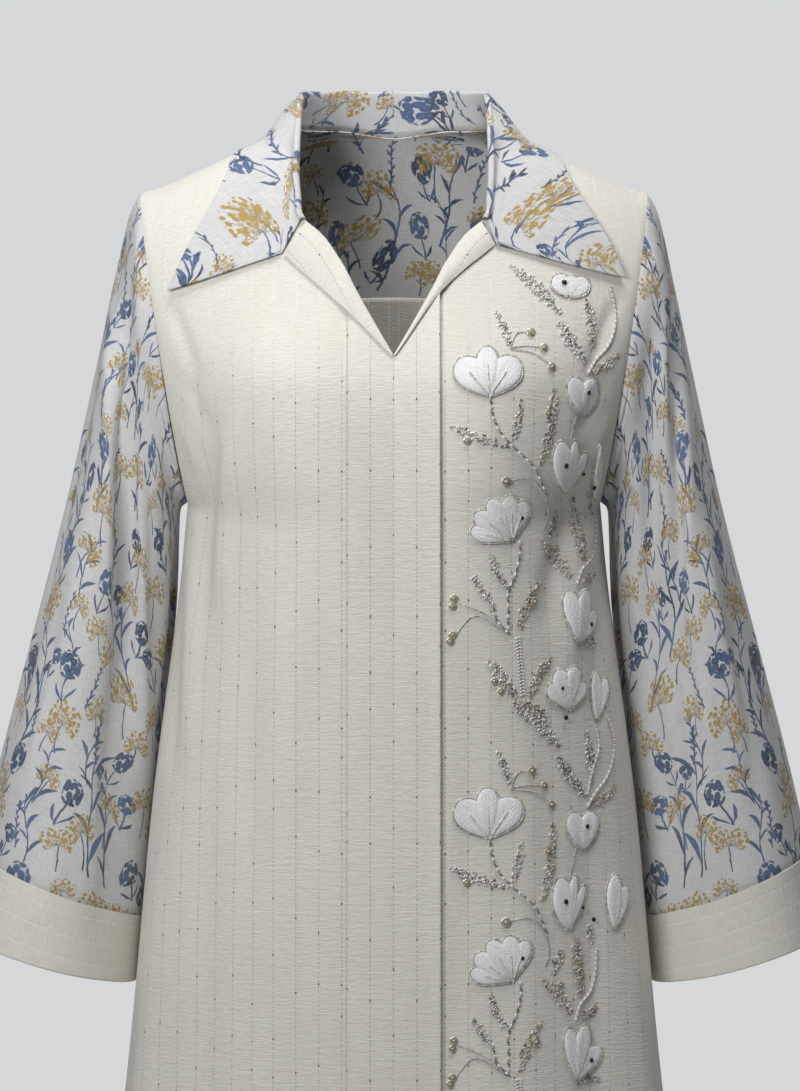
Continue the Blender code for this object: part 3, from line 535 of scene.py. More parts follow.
BACK_CREASES = table(
    CREASE,
    (0.020, -0.150, 0.034, -0.520, -0.0020, 0.0110, 0.004),
    (-0.045, -0.145, -0.060, -0.480, 0.0018, 0.0110, 0.004),
    (0.085, -0.160, 0.100, -0.560, 0.0020, 0.0120, 0.000),
    (-0.100, -0.165, -0.112, -0.500, -0.0022, 0.0110, 0.000),
    (0.140, -0.290, 0.118, -0.440, -0.0028, 0.0085, 0.004),
    (-0.142, -0.300, -0.120, -0.470, -0.0026, 0.0085, -0.004),
    (0.160, -0.310, 0.150, -0.560, 0.0022, 0.0090, 0.000),
    (-0.160, -0.320, -0.152, -0.540, 0.0022, 0.0090, 0.000),
    (0.030, -0.560, 0.045, -1.240, 0.0022, 0.0160, 0.004),
    (-0.080, -0.600, -0.100, -1.300, -0.0022, 0.0160, 0.003),
    (0.120, -0.640, 0.150, -1.260, -0.0020, 0.0150, 0.000),
    (-0.150, -0.700, -0.180, -1.320, 0.0022, 0.0150, 0.000),
)
# On a sleeve, round from its outer line (the front positive) and down from the shoulder, in metres
SLEEVE_CREASES = {
    Side.LEFT: table(
        CREASE,
        (0.176, 0.160, 0.196, 0.420, 0.0020, 0.0075, 0.000),
        (0.205, 0.200, 0.214, 0.470, -0.0044, 0.0080, 0.000),
        (0.060, 0.050, 0.048, 0.280, 0.0024, 0.0100, 0.002),
        (0.020, 0.160, 0.010, 0.460, -0.0034, 0.0100, 0.000),
        (0.075, 0.330, 0.082, 0.560, 0.0030, 0.0090, 0.000),
        (0.116, 0.360, 0.124, 0.575, -0.0036, 0.0080, 0.002),
        (0.150, 0.380, 0.156, 0.570, 0.0026, 0.0075, 0.000),
        (-0.040, 0.060, -0.052, 0.330, -0.0040, 0.0100, 0.000),
        (-0.090, 0.100, -0.104, 0.420, 0.0040, 0.0100, 0.003),
        (-0.140, 0.080, -0.150, 0.300, -0.0044, 0.0085, 0.000),
        (-0.180, 0.180, -0.190, 0.460, 0.0022, 0.0085, 0.000),
        (-0.070, 0.360, -0.060, 0.570, -0.0036, 0.0090, 0.000),
        (0.168, 0.010, 0.130, 0.055, -0.0022, 0.0060, 0.004),
        (0.190, 0.040, 0.150, 0.090, -0.0022, 0.0060, 0.004),
    ),
    Side.RIGHT: table(
        CREASE,
        (0.176, 0.140, 0.190, 0.400, 0.0020, 0.0080, 0.000),
        (0.206, 0.180, 0.212, 0.460, -0.0044, 0.0080, 0.000),
        (0.052, 0.070, 0.050, 0.330, 0.0022, 0.0100, 0.000),
        (0.016, 0.200, 0.022, 0.520, -0.0032, 0.0100, 0.002),
        (0.140, 0.370, 0.150, 0.575, -0.0034, 0.0080, 0.000),
        (0.066, 0.390, 0.060, 0.560, -0.0030, 0.0085, 0.000),
        (-0.036, 0.080, -0.046, 0.360, -0.0040, 0.0100, 0.000),
        (-0.088, 0.120, -0.098, 0.400, 0.0040, 0.0100, 0.002),
        (-0.136, 0.070, -0.150, 0.330, -0.0044, 0.0085, 0.000),
        (-0.176, 0.160, -0.186, 0.440, 0.0022, 0.0085, 0.000),
        (-0.074, 0.380, -0.066, 0.570, -0.0036, 0.0090, 0.000),
        (0.170, 0.012, 0.134, 0.060, -0.0022, 0.0060, 0.004),
    ),
}
# The upright folds down the front of a sleeve: distance from the robe's centre, and height
UPRIGHT_CREASES = {
    Side.LEFT: table(
        CREASE,
        (0.2162, -0.100, 0.2168, -0.480, 0.0036, 0.0045, 0.000),
        (0.2240, -0.090, 0.2244, -0.490, -0.0086, 0.0060, 0.000),
        (0.2330, -0.150, 0.2350, -0.400, 0.0016, 0.0050, 0.000),
        (0.2040, -0.240, 0.2030, -0.500, -0.0020, 0.0060, 0.000),
        (0.2600, -0.330, 0.2960, -0.600, -0.0046, 0.0095, 0.000),
        (0.2420, -0.430, 0.2560, -0.640, 0.0036, 0.0080, 0.000),
    ),
    Side.RIGHT: table(
        CREASE,
        (0.2155, -0.040, 0.2140, -0.560, -0.0100, 0.0078, 0.000),
        (0.2275, -0.080, 0.2266, -0.440, 0.0036, 0.0045, 0.000),
        (0.2030, -0.090, 0.2015, -0.600, 0.0036, 0.0042, 0.000),
        (0.1940, -0.230, 0.1930, -0.500, -0.0026, 0.0050, 0.000),
        (0.2600, -0.400, 0.2850, -0.640, -0.0046, 0.0095, 0.000),
        (0.2380, -0.480, 0.2440, -0.660, 0.0034, 0.0080, 0.000),
    ),
}
UPRIGHT_FACING = 0.45
SEAM_GROOVE = 0.0007
SEAM_GROOVE_WIDTH = 0.0022


def seam_groove(distance: Array) -> Array:
    """The cloth drawn in at a seam, this far from it."""
    return -SEAM_GROOVE * bell(distance, SEAM_GROOVE_WIDTH)


# Meshes

@dataclass
class Skin:
    """A grid of points over a piece, and each one's place on the piece's flat cut, in metres."""
    points: Array
    flat: Array

    def mirrored(self) -> "Skin":
        """The same piece on the robe's other side."""
        return Skin(mirrored(self.points), self.flat * np.array([-1.0, 1.0]))


def laid_flat(points: Array, from_row: int = 0, from_column: int = 0) -> Array:
    """Flat-cut places of a grid: lengths along its rows and down its columns from a row and column."""
    u = np.pad(np.cumsum(steps(points, 1), axis=1), ((0, 0), (1, 0)))
    v = -np.pad(np.cumsum(steps(points), axis=0), ((1, 0), (0, 0)))
    return np.stack([u - u[:, [from_column]], v - v[[from_row]]], axis=-1)


def new_object(name: str, mesh: bpy.types.Mesh) -> bpy.types.Object:
    """An object at the origin, shaded smoothly."""
    mesh.shade_smooth()
    made = bpy.data.objects.new(name, mesh)
    bpy.context.scene.collection.objects.link(made)
    return made


def fill_mesh(mesh: bpy.types.Mesh, points: Array, faces: Array, flat: Array | None = None) -> None:
    """Puts points and faces of one corner count into a mesh, with the flat cut as its UV map."""
    corners = faces.shape[1]
    mesh.vertices.add(len(points))
    mesh.vertices.foreach_set("co", np.ascontiguousarray(points, np.float32).ravel())
    mesh.loops.add(faces.size)
    mesh.loops.foreach_set("vertex_index", np.ascontiguousarray(faces, np.int32).ravel())
    mesh.polygons.add(len(faces))
    mesh.polygons.foreach_set("loop_start", np.arange(0, faces.size, corners, dtype=np.int32))
    mesh.update(calc_edges=True)
    if flat is not None:
        layer = mesh.uv_layers.new(name="flat_cut")
        layer.data.foreach_set("uv", np.ascontiguousarray(flat[faces.ravel()], np.float32).ravel())


def grid_faces(rows: int, columns: int, start: int = 0) -> Array:
    """Four-cornered faces between the points of a grid."""
    first = (np.arange(rows - 1)[:, None] * columns + np.arange(columns - 1)).ravel() + start
    return np.stack([first, first + columns, first + columns + 1, first + 1], axis=1)


WELD = 1e-6


def cloth_object(name: str, skins: list[Skin], outward: Array, wall: float = SHELL) -> bpy.types.Object:
    """Grids welded into one sheet of cloth, with a wall on its inner side.

    Args:
        name: the object's name.
        skins: grids that share points where they meet.
        outward: the outward direction at the middle of the first grid.
        wall: the cloth's thickness, or 0 where the grid closes on itself.
    """
    faces, start = [], 0
    for skin in skins:
        faces.append(grid_faces(*skin.points.shape[:2], start))
        start += skin.points.shape[0] * skin.points.shape[1]
    points = np.concatenate([skin.points.reshape(-1, 3) for skin in skins])
    flat = np.concatenate([skin.flat.reshape(-1, 2) for skin in skins])
    middle = skins[0].points
    j, i = middle.shape[0] // 2, middle.shape[1] // 2
    facing = np.cross(middle[j + 1, i] - middle[j, i], middle[j, i + 1] - middle[j, i])
    all_faces = np.concatenate(faces)
    if float(np.dot(facing, outward)) < 0:
        all_faces = all_faces[:, ::-1]
    mesh = bpy.data.meshes.new(name)
    fill_mesh(mesh, points, all_faces, flat)
    data = bmesh.new()
    data.from_mesh(mesh)
    bmesh.ops.remove_doubles(data, verts=data.verts, dist=WELD)
    data.to_mesh(mesh)
    data.free()
    made = new_object(name, mesh)
    if wall:
        solid = made.modifiers.new("wall", "SOLIDIFY")
        solid.thickness = wall
        solid.offset = -1
    return made


MEASURED_ROWS = 2000


def even_rows(rows: Columns, first: float, last: float, spacing: float) -> Array:
    """Rows of the front or back this far apart on the cloth, with a guard row beside each end."""
    fine = np.linspace(first, last, MEASURED_ROWS)
    length = running(steps(body(rows, through(rows, "arc", fine) * 0.5, fine)))
    count = int(length[-1] / spacing)
    return np.interp(guarded(count) * length[-1], length, fine)


def guarded(count: int, guard: float = 0.003) -> Array:
    """Even shares from 0 to 1, with one more close to each end."""
    inner = np.linspace(0, 1, count)[1:-1]
    return np.concatenate([[0, guard], inner, [1 - guard, 1]])


# The body's panels

FRONT_SPACING, FRONT_COLUMN_COUNT = 0.0046, 64
BACK_SPACING, BACK_COLUMN_COUNT = 0.0056, 52
YOKE_SPACING, YOKE_COLUMN_COUNT = 0.0045, 44
CENTRE_COLUMN_COUNT = 24
LEVEL_ROWS = 0.2
CREASES_END = 0.02
SHOULDER_ROW_WIDTH, YOKE_ROW_WIDTH = 0.033, 0.075
SHOULDER_SEAM_ROW = SEAM / 2 / SHOULDER_ROW_WIDTH
YOKE_SEAM_ROWS = SEAM / 2 / YOKE_ROW_WIDTH


def half_panel(rows: Columns, row: Array, columns: int, side: Side) -> Skin:
    """One half of the front or back, from the centre or neck edge to its outer seam.

    Returns:
        The points with their creases, on their own side, and the uncreased points' flat places.
    """
    start = neck_turn(rows, row)
    arc = through(rows, "arc", row)
    turn = start[:, None] + (arc - start)[:, None] * guarded(columns)
    at = np.broadcast_to(row[:, None], turn.shape)
    points = body(rows, turn, at)
    out = body_normals(rows, turn, at)
    from_centre = start[:, None] * np.linspace(0, 1, CENTRE_COLUMN_COUNT)
    before = body(rows, from_centre, np.broadcast_to(row[:, None], from_centre.shape))
    flat = laid_flat(points)
    flat[..., 0] += steps(before, 1).sum(1)[:, None]
    flat[..., 1] += flat[-1, 0, 1] - flat[-1, :, 1]
    points[:, -1] += unit(points[:, -2] - points[:, -1]) * SEAM / 2
    out[row < LEVEL_ROWS, :, 1] = 0
    out[row >= NECK_POINT_ROW, 0, 0] = 0
    out = unit(out)
    creases = FRONT_CREASES if rows is FRONT_ROWS else BACK_CREASES
    rise = creased(creases, points[..., 0] * side.value, points[..., 2])
    to_seam = flat[:, -1:, 0] - flat[..., 0]
    rise = rise * ease(to_seam / CREASES_END) + seam_groove(to_seam)
    skin = Skin(points + out * rise[..., None], flat)
    return skin if side is Side.LEFT else skin.mirrored()


@dataclass
class Body:
    """The fronts, the back and the yoke."""
    cream: bpy.types.Material
    printed: bpy.types.Material

    def fronts(self) -> None:
        """Two fronts that meet at the centre under the band."""
        row = even_rows(FRONT_ROWS, SHOULDER_SEAM_ROW, HEM_ROW, FRONT_SPACING)
        for side in Side:
            skin = half_panel(FRONT_ROWS, row, FRONT_COLUMN_COUNT, side)
            made = cloth_object(f"front_{side.word}_cloth", [skin], (0, -1, 0))
            finished(made, self.cream, "cream_cloth", f"front_{side.word}")

    def back(self) -> None:
        """The back below the yoke, in one piece."""
        row = even_rows(BACK_ROWS, YOKE_ROW + YOKE_SEAM_ROWS, HEM_ROW, BACK_SPACING)
        left, right = (half_panel(BACK_ROWS, row, BACK_COLUMN_COUNT, side) for side in Side)
        points = np.concatenate([right.points[:, ::-1], left.points[:, 1:]], axis=1)
        flat = np.concatenate([right.flat[:, ::-1], left.flat[:, 1:]], axis=1)
        made = cloth_object("back_cloth", [Skin(points, flat)], (0, 1, 0))
        finished(made, self.cream, "cream_cloth", "back")

    def yoke(self) -> None:
        """The yoke over the shoulders, its halves joined below the back neck."""
        above = even_rows(BACK_ROWS, SHOULDER_SEAM_ROW, BACK_NECK_ROW, YOKE_SPACING)
        below = even_rows(BACK_ROWS, BACK_NECK_ROW, YOKE_ROW - YOKE_SEAM_ROWS, YOKE_SPACING)
        row = np.concatenate([above, below[1:]])
        left, right = (half_panel(BACK_ROWS, row, YOKE_COLUMN_COUNT, side) for side in Side)
        for skin in (left, right):
            skin.points[row >= BACK_NECK_ROW, 0, 0] = 0
        right = Skin(right.points[:, ::-1], right.flat[:, ::-1])
        made = cloth_object("yoke_cloth", [left, right], (0, 0.6, 0.8))
        finished(made, self.printed, "printed_cloth", "yoke")


def finished(made: bpy.types.Object, finish: bpy.types.Material, slot: str, *nodes: str) -> bpy.types.Object:
    """Dresses a piece, sets it in the place of its nodes and reports it."""
    made.data.materials.append(finish)
    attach(made, "root")
    if nodes:
        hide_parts(*nodes)
    log.info("%s: %d faces", made.name, len(made.data.polygons))
    return made


# Sleeves and cuffs

SLEEVE_COLUMN_COUNT = 108
SLEEVE_ROW_COUNT = 118
CUFF_ROW_COUNT = 22
CUFF_FOLD_COUNT = 9
ROUND_PER_DEGREE = 0.00125
DOWN_PER_ROW = 0.089
TUCK, TUCK_UNDER = 0.0012, 0.0009


@dataclass
class Sleeves:
    """Both sleeves with their turned cuffs."""
    cream: bpy.types.Material
    printed: bpy.types.Material

    def surface(self, side: Side, angle: Array, row: Array, proud: float) -> tuple[Array, Array]:
        """Points of a sleeve moved out by its creases, and its outward normals."""
        out = sleeve_normals(angle, row)
        signed = np.mod(angle + 180, 360) - 180
        points = sleeve(angle, row)
        rise = creased(SLEEVE_CREASES[side], signed * ROUND_PER_DEGREE, row * DOWN_PER_ROW)
        upright = creased(UPRIGHT_CREASES[side], points[..., 0], points[..., 2])
        rise = rise + upright * ease(-out[..., 1] / UPRIGHT_FACING)
        return points + out * (rise + proud)[..., None], out

    def grid(self, rows: Array) -> list[Array]:
        """Angles all round from the underarm line, and rows."""
        return np.meshgrid(np.linspace(180, 540, SLEEVE_COLUMN_COUNT), rows)

    def sleeves(self) -> None:
        """Two tubes from the armholes to the cuff seams, their own seam under the arm."""
        a, r = self.grid(guarded(SLEEVE_ROW_COUNT) * CUFF_ROW)
        for side in Side:
            points, out = self.surface(side, a, r, 0.0)
            points[:, -1] = points[:, 0]
            lengths = laid_flat(points, from_row=-1, from_column=points.shape[1] // 2)
            groove = seam_groove(lengths[:1, :, 1] - lengths[..., 1]) + seam_groove(lengths[..., 1])
            points = points + out * groove[..., None]
            for end, beside in ((0, 1), (-1, -2)):
                points[end] -= unit(points[beside] - points[end]) * TUCK + out[end] * TUCK_UNDER
            if side is Side.RIGHT:
                points = mirrored(points)
            made = cloth_object(f"sleeve_{side.word}_cloth", [Skin(points, lengths)],
                                (side.value, 0, 0))
            finished(made, self.printed, "printed_cloth", f"sleeve_{side.word}")

    def cuffs(self) -> None:
        """Two cuffs of double cloth, folded under at the edge."""
        a, r = self.grid(CUFF_ROW + guarded(CUFF_ROW_COUNT) * (CUFF_END_ROW - CUFF_ROW))
        for side in Side:
            outer, out = self.surface(side, a, r, CUFF_PROUD)
            outer[:, -1] = outer[:, 0]
            down = unit(outer[-1] - outer[-2])
            radius = CUFF_WALL / 2
            middle = outer[-1] - out[-1] * radius
            turns = np.radians(np.linspace(0, 180, CUFF_FOLD_COUNT))[1:-1, None, None]
            fold = middle + (out[-1] * np.cos(turns) + down * np.sin(turns)) * radius
            inner = (outer - out * CUFF_WALL)[::-1]
            ring = np.concatenate([outer, fold, inner, outer[:1]])
            ring[:, -1] = ring[:, 0]
            lengths = laid_flat(ring, from_column=ring.shape[1] // 2)
            if side is Side.RIGHT:
                ring = mirrored(ring)
            made = cloth_object(f"cuff_{side.word}_cloth", [Skin(ring, lengths)], (0, 0, 0), wall=0)
            face_outwards(made)
            finished(made, self.cream, "cream_cloth", f"cuff_{side.word}")


def face_outwards(made: bpy.types.Object) -> None:
    """Turns a closed mesh's faces outwards."""
    data = bmesh.new()
    data.from_mesh(made.data)
    bmesh.ops.recalc_face_normals(data, faces=data.faces)
    data.to_mesh(made.data)
    data.free()


# What lies on the fronts

ON_FRONT_TRIES, LARGEST_SINE = 6, 0.98


def on_front(x: Array, z: Array, rise: Array) -> Array:
    """Points over the fronts, at these places of the front view, this far out from the cloth."""
    x, z, rise = np.broadcast_arrays(np.asarray(x, float), np.asarray(z, float), rise)
    away = np.maximum(np.abs(x), SEAM)
    target = stack(away, 0.0, z)
    row = np.interp(-z, -FRONT_ROWS["centre_z"], FRONT_ROWS["row"])
    arc = through(FRONT_ROWS, "arc", row)
    edge = panel_edge(FRONT_ROWS, row)[..., 0]
    sine = np.clip(away * np.sin(np.radians(arc)) / edge, 0, LARGEST_SINE)
    turn = np.degrees(np.arcsin(sine))
    turn, row = nearest_on(FRONT_ROWS, target, turn, row, flat=True, tries=ON_FRONT_TRIES)
    near, out = body(FRONT_ROWS, turn, row), body_normals(FRONT_ROWS, turn, row)
    lifted = near + out * (rise + creased(FRONT_CREASES, x, z))[..., None]
    lifted[..., 0] = np.where(x < 0, -lifted[..., 0], lifted[..., 0])
    lifted[..., 0] = np.where(np.abs(x) < SEAM, x, lifted[..., 0])
    return lifted


LAPEL_ROW_COUNT, LAPEL_COLUMN_COUNT, LAPEL_LIP_COUNT = 60, 26, 8
LAPEL_FROM, LAPEL_REACH = 0.012, 0.976
LAPEL_ROW_GUARD, LAPEL_COLUMN_GUARD = 0.004, 0.012
LAPEL_BOW_PEAK = 1.3
LAPEL_WALL = 0.0009
LAPEL_LIP_X, LAPEL_LIP = 0.0016, 0.0022
LAPEL_OVER_BAND = 0.010
LAPEL_CORNER_REACH = 0.0045


def band_rise(x: Array, slope: float) -> Array:
    """How much higher the skin is where the band lies, rising over a slope this wide outside it."""
    return (LIE + WALL) * ease((BAND_HALF_WIDTH + slope - np.abs(x)) / slope)


BAND_ROW_COUNT, BAND_COLUMN_COUNT = 290, 30
BAND_ROW_GUARD, BAND_COLUMN_GUARD = 0.0006, 0.012
BAND_FREE_EDGE_LIFT, BAND_FREE_EDGE_WIDTH = 0.0016, 0.006
BAND_STITCH_DEPTH, BAND_STITCH_IN, BAND_STITCH_WIDTH = 0.0007, 0.0026, 0.0016
COLLAR_ROW_COUNT, COLLAR_COLUMN_COUNT = 84, 36
COLLAR_STAND_COUNT, COLLAR_ROLL_COUNT = 7, 9
COLLAR_ROW_GUARD, COLLAR_COLUMN_GUARD = 0.004, 0.01
COLLAR_SEARCH_TURN, COLLAR_SEARCH_ROW = 6, 0.3
COLLAR_FOLD_COLUMN = 14
COLLAR_PRINT_SHIFT = np.array([0.031, 0.044])


@dataclass
class FrontPieces:
    """The band, the lapels and the collar, which lie on the fronts and yoke."""
    cream: bpy.types.Material
    printed: bpy.types.Material

    def band(self) -> None:
        """The straight band: its right edge is sewn down, its left edge is a free fold."""
        x = (guarded(BAND_COLUMN_COUNT, BAND_COLUMN_GUARD) * 2 - 1) * BAND_HALF_WIDTH
        top = np.interp(np.abs(x), NECK["half_width"], NECK["z"]) - BAND_TOP_DROP
        hem = HEM_Z + BAND_HEM_RISE
        share = guarded(BAND_ROW_COUNT, BAND_ROW_GUARD)[:, None]
        z = top + (hem - top) * share
        x = np.broadcast_to(x, z.shape)
        free_edge = BAND_FREE_EDGE_LIFT * bell(BAND_HALF_WIDTH - x, BAND_FREE_EDGE_WIDTH)
        stitching = BAND_STITCH_DEPTH * bell(BAND_HALF_WIDTH + x - BAND_STITCH_IN, BAND_STITCH_WIDTH)
        points = on_front(x, z, LIE + WALL + (free_edge - stitching))
        made = cloth_object("front_band_cloth", [Skin(points, np.stack([x, z], axis=-1))], (0, -1, 0))
        finished(made, self.cream, "cream_cloth", "front_band")

    def lapels(self) -> None:
        """Two neck facings turned out, folded over the neck edge."""
        for side in Side:
            s = side.value
            share = (LAPEL_FROM + LAPEL_REACH * guarded(LAPEL_ROW_COUNT, LAPEL_ROW_GUARD))[:, None]
            fold_z = NECK_POINT_Z + (GORGE_Z - NECK_POINT_Z) * share
            point = np.array([0.0, NECK_POINT_Z])
            line = notch(side) - point
            toward_fold = np.array([-line[1], line[0]]) / np.linalg.norm(line)
            bow = (LAPEL_BOW + s * LAPEL_BOW_SKEW) * np.sin(math.pi * share ** LAPEL_BOW_PEAK)
            edge = point + line * share + toward_fold * bow
            across = guarded(LAPEL_COLUMN_COUNT, LAPEL_COLUMN_GUARD)[None, :]
            x = neck_x(fold_z) + (edge[:, :1] - neck_x(fold_z)) * across + 2 * SEAM
            z = fold_z + (edge[:, 1:] - fold_z) * across - 2 * SEAM
            z = z + LAPEL_CORNER_REACH * share**8 * across**3
            puff = LAPEL_PUFF * np.sin(math.pi * across) * share
            rise = LAPEL_LIE + SHELL + puff + band_rise(x, LAPEL_OVER_BAND)
            flap = on_front(s * x, z, rise)
            turns = np.radians(np.linspace(180, 0, LAPEL_LIP_COUNT)[:-1])[None, :]
            lip_x = x[:, :1] - LAPEL_LIP_X * np.sin(turns)
            lip_rise = rise[:, :1] - LAPEL_LIP + LAPEL_LIP * np.cos(turns)
            roll = on_front(s * lip_x, np.broadcast_to(z[:, :1], lip_x.shape), lip_rise)
            points = np.concatenate([roll, flap], axis=1)
            made = cloth_object(f"lapel_{side.word}_cloth", [Skin(points, laid_flat(points))],
                                (0, -1, 0), wall=LAPEL_WALL)
            finished(made, self.cream, "cream_cloth", f"lapel_{side.word}")

    def neck_line(self, station: Array) -> tuple[Array, Array, Array, Array]:
        """The neck edge, the cloth's normal, and the turn and row there, at stations of the collar."""
        front_row = gorge_row() * (1 - np.minimum(station, 0.5) * 2)
        back_row = BACK_NECK_ROW * np.sin(math.pi / 2 * (np.maximum(station, 0.5) * 2 - 1))
        front_turn, back_turn = neck_turn(FRONT_ROWS, front_row), neck_turn(BACK_ROWS, back_row)
        ahead = (station <= 0.5)[:, None]
        seam = np.where(ahead, body(FRONT_ROWS, front_turn, front_row), body(BACK_ROWS, back_turn, back_row))
        out = np.where(ahead, body_normals(FRONT_ROWS, front_turn, front_row),
                       body_normals(BACK_ROWS, back_turn, back_row))
        turn = np.where(station <= 0.5, front_turn, back_turn)
        return seam, out, turn, np.where(station <= 0.5, front_row, back_row)

    def settle(self, points: Array, turn: Array, row: Array) -> tuple[Array, Array]:
        """The places on the fronts or yoke nearest to these points, and their normals."""
        turn = np.broadcast_to(turn[:, None], points.shape[:2])
        row = np.broadcast_to(row[:, None], points.shape[:2])
        turn, row = turn + COLLAR_SEARCH_TURN, np.maximum(row, COLLAR_SEARCH_ROW)
        found = []
        for rows in (FRONT_ROWS, BACK_ROWS):
            t, r = nearest_on(rows, points, turn, row, flat=False)
            found.append((body(rows, t, r), body_normals(rows, t, r)))
        in_front, behind = (np.linalg.norm(points - near, axis=-1) for near, _ in found)
        back = (behind < in_front)[..., None]
        return np.where(back, found[1][0], found[0][0]), np.where(back, found[1][1], found[0][1])

    def collar_half(self, side: Side) -> Array:
        """The collar's underside on one side: foot, stand, roll and fall across each station."""
        s = side.value
        station = guarded(COLLAR_ROW_COUNT, COLLAR_ROW_GUARD)
        seam, cloth, turn, row = self.neck_line(station)
        at = {key: through(COLLAR, key, station, "station") for key in COLLAR}
        edge = stack(at["edge_x"] + s * at["skew_x"], at["edge_y"], at["edge_z"] + s * at["skew_z"])
        up = np.array([0.0, 0.0, 1.0])
        behind = np.maximum(seam[:, 1], 0.0)
        away = unit(stack(np.maximum(seam[:, 0], 0.0) / NECK_HALF_WIDTH**2, behind / BACK_NECK_DEPTH**2, 0.0))
        front = (1 - ease(station / COLLAR_FRONT))[:, None]
        rise = unit(cloth * front + up * (1 - front))
        stand = at["stand"][:, None]
        foot = seam + away * WALL * np.abs(cloth[:, 2:]) + cloth * COLLAR_FOOT_LIE
        top = foot + rise * stand - away * stand * COLLAR_LEAN
        lines = [foot + (top - foot) * share for share in np.linspace(0, 1, COLLAR_STAND_COUNT)[:-1]]
        for degrees in np.linspace(180, 0, COLLAR_ROLL_COUNT):
            a = math.radians(degrees)
            lines.append(top + away * COLLAR_ROLL * (1 + math.cos(a)) + rise * COLLAR_ROLL * math.sin(a))
        roll = lines[-1]
        x, z = notch(side)
        to_notch = stack(x, 0.0, z) - (roll + (edge - roll) * NOTCH_SHARE)
        to_notch[:, 1] = 0
        share = guarded(COLLAR_COLUMN_COUNT, COLLAR_COLUMN_GUARD)[1:][None, :, None]
        beyond = (share - NOTCH_SHARE) / (1 - NOTCH_SHARE)
        near_notch = np.where(share < NOTCH_SHARE, share / NOTCH_SHARE, 1 - beyond)
        bow = COLLAR_EDGE_BOW * np.sin(math.pi * np.maximum(beyond, 0.0))
        point = (roll[:, None] + (edge - roll)[:, None] * share
                 + (to_notch[:, None] * near_notch - up * bow) * front[:, None])
        near, out = self.settle(point, turn, row)
        want = COLLAR_LIE + COLLAR_TIP_LIFT * share[..., 0] * front
        settled = ease((share[..., 0] - COLLAR_SETTLES) / (1 - COLLAR_SETTLES))
        height = ((point - near) * out).sum(-1)
        wanted = np.maximum(want, height * (1 - settled) + want * settled)
        fall = point + out * (wanted - height)[..., None]
        return np.concatenate([np.stack(lines, axis=1), fall], axis=1)

    def collar(self) -> None:
        """The pointed collar, from one gorge round the back of the neck to the other."""
        left, right = self.collar_half(Side.LEFT), self.collar_half(Side.RIGHT)
        under = np.concatenate([left, mirrored(right)[::-1][1:]], axis=0)
        push = unit(np.cross(np.gradient(under, axis=1), np.gradient(under, axis=0)))
        if push[under.shape[0] // 2, -1, 1] < 0:
            push = -push
        outer = under + push * SHELL
        middle = under.shape[0] // 2
        halves = []
        for side, points in ((Side.LEFT, outer[:middle + 1]), (Side.RIGHT, outer[middle:])):
            from_gorge = points if side is Side.LEFT else points[::-1]
            flat = strip_flat(from_gorge, COLLAR_FOLD_COLUMN) * np.array([side.value, 1.0])
            halves.append(Skin(points, flat if side is Side.LEFT else flat[::-1] - COLLAR_PRINT_SHIFT))
        made = cloth_object("collar_cloth", halves, push[(middle + 1) // 2, outer.shape[1] // 2])
        finished(made, self.printed, "printed_cloth", "collar")


def angle_between(near: Array, other: Array, facing: Array) -> Array:
    """Angle of a triangle between two sides, from the three sides' lengths."""
    return np.arccos(np.clip((near**2 + other**2 - facing**2) / (2 * near * other), -1, 1))


def toward(angle: Array) -> Array:
    """Flat directions of these angles."""
    return np.stack([np.cos(angle), np.sin(angle)], axis=1)


def strip_flat(points: Array, fold: int) -> Array:
    """Flat-cut places of a curved strip, unrolled as pairs of triangles between its fold and its edge.

    Args:
        points: a grid whose rows run across the strip.
        fold: the column of the fold. Columns before it lie on its other side.
    """
    reach = np.pad(np.cumsum(steps(points, 1), axis=1), ((0, 0), (1, 0)))
    reach = reach - reach[:, [fold]]
    line, edge = points[:, fold], points[:, -1]
    width = np.linalg.norm(edge - line, axis=1)
    along_line, along_edge = steps(line), steps(edge)
    diagonal = np.linalg.norm(edge[1:] - line[:-1], axis=1)
    first = angle_between(width[:-1], diagonal, along_edge)
    second = angle_between(diagonal, along_line, width[1:])
    third = angle_between(along_line, width[1:], diagonal)
    across = running(first + second + third - math.pi)
    forward = across[:-1] + first + second
    upright = math.pi / 2 - forward[0]
    places = np.pad(np.cumsum(toward(forward + upright) * along_line[:, None], axis=0), ((1, 0), (0, 0)))
    heading = toward(across + upright)
    return places[:, None] + heading[:, None] * reach[..., None]


def notch(side: Side) -> Array:
    """The notch in the front view, as if on the +X side."""
    return np.array([NOTCH_X + side.value * NOTCH_SKEW_X, NOTCH_Z + side.value * NOTCH_SKEW_Z])


# Applique flowers

@dataclass(frozen=True)
class Petal:
    """One satin-stitched petal of a flower, from the flower's foot.

    tip is in shares of the flower's half width and half height, width is its half width in shares
    of the smaller of those, and peak is how far along it is widest.
    """
    tip: Point
    width: float
    peak: float
    lift: float = 1.0


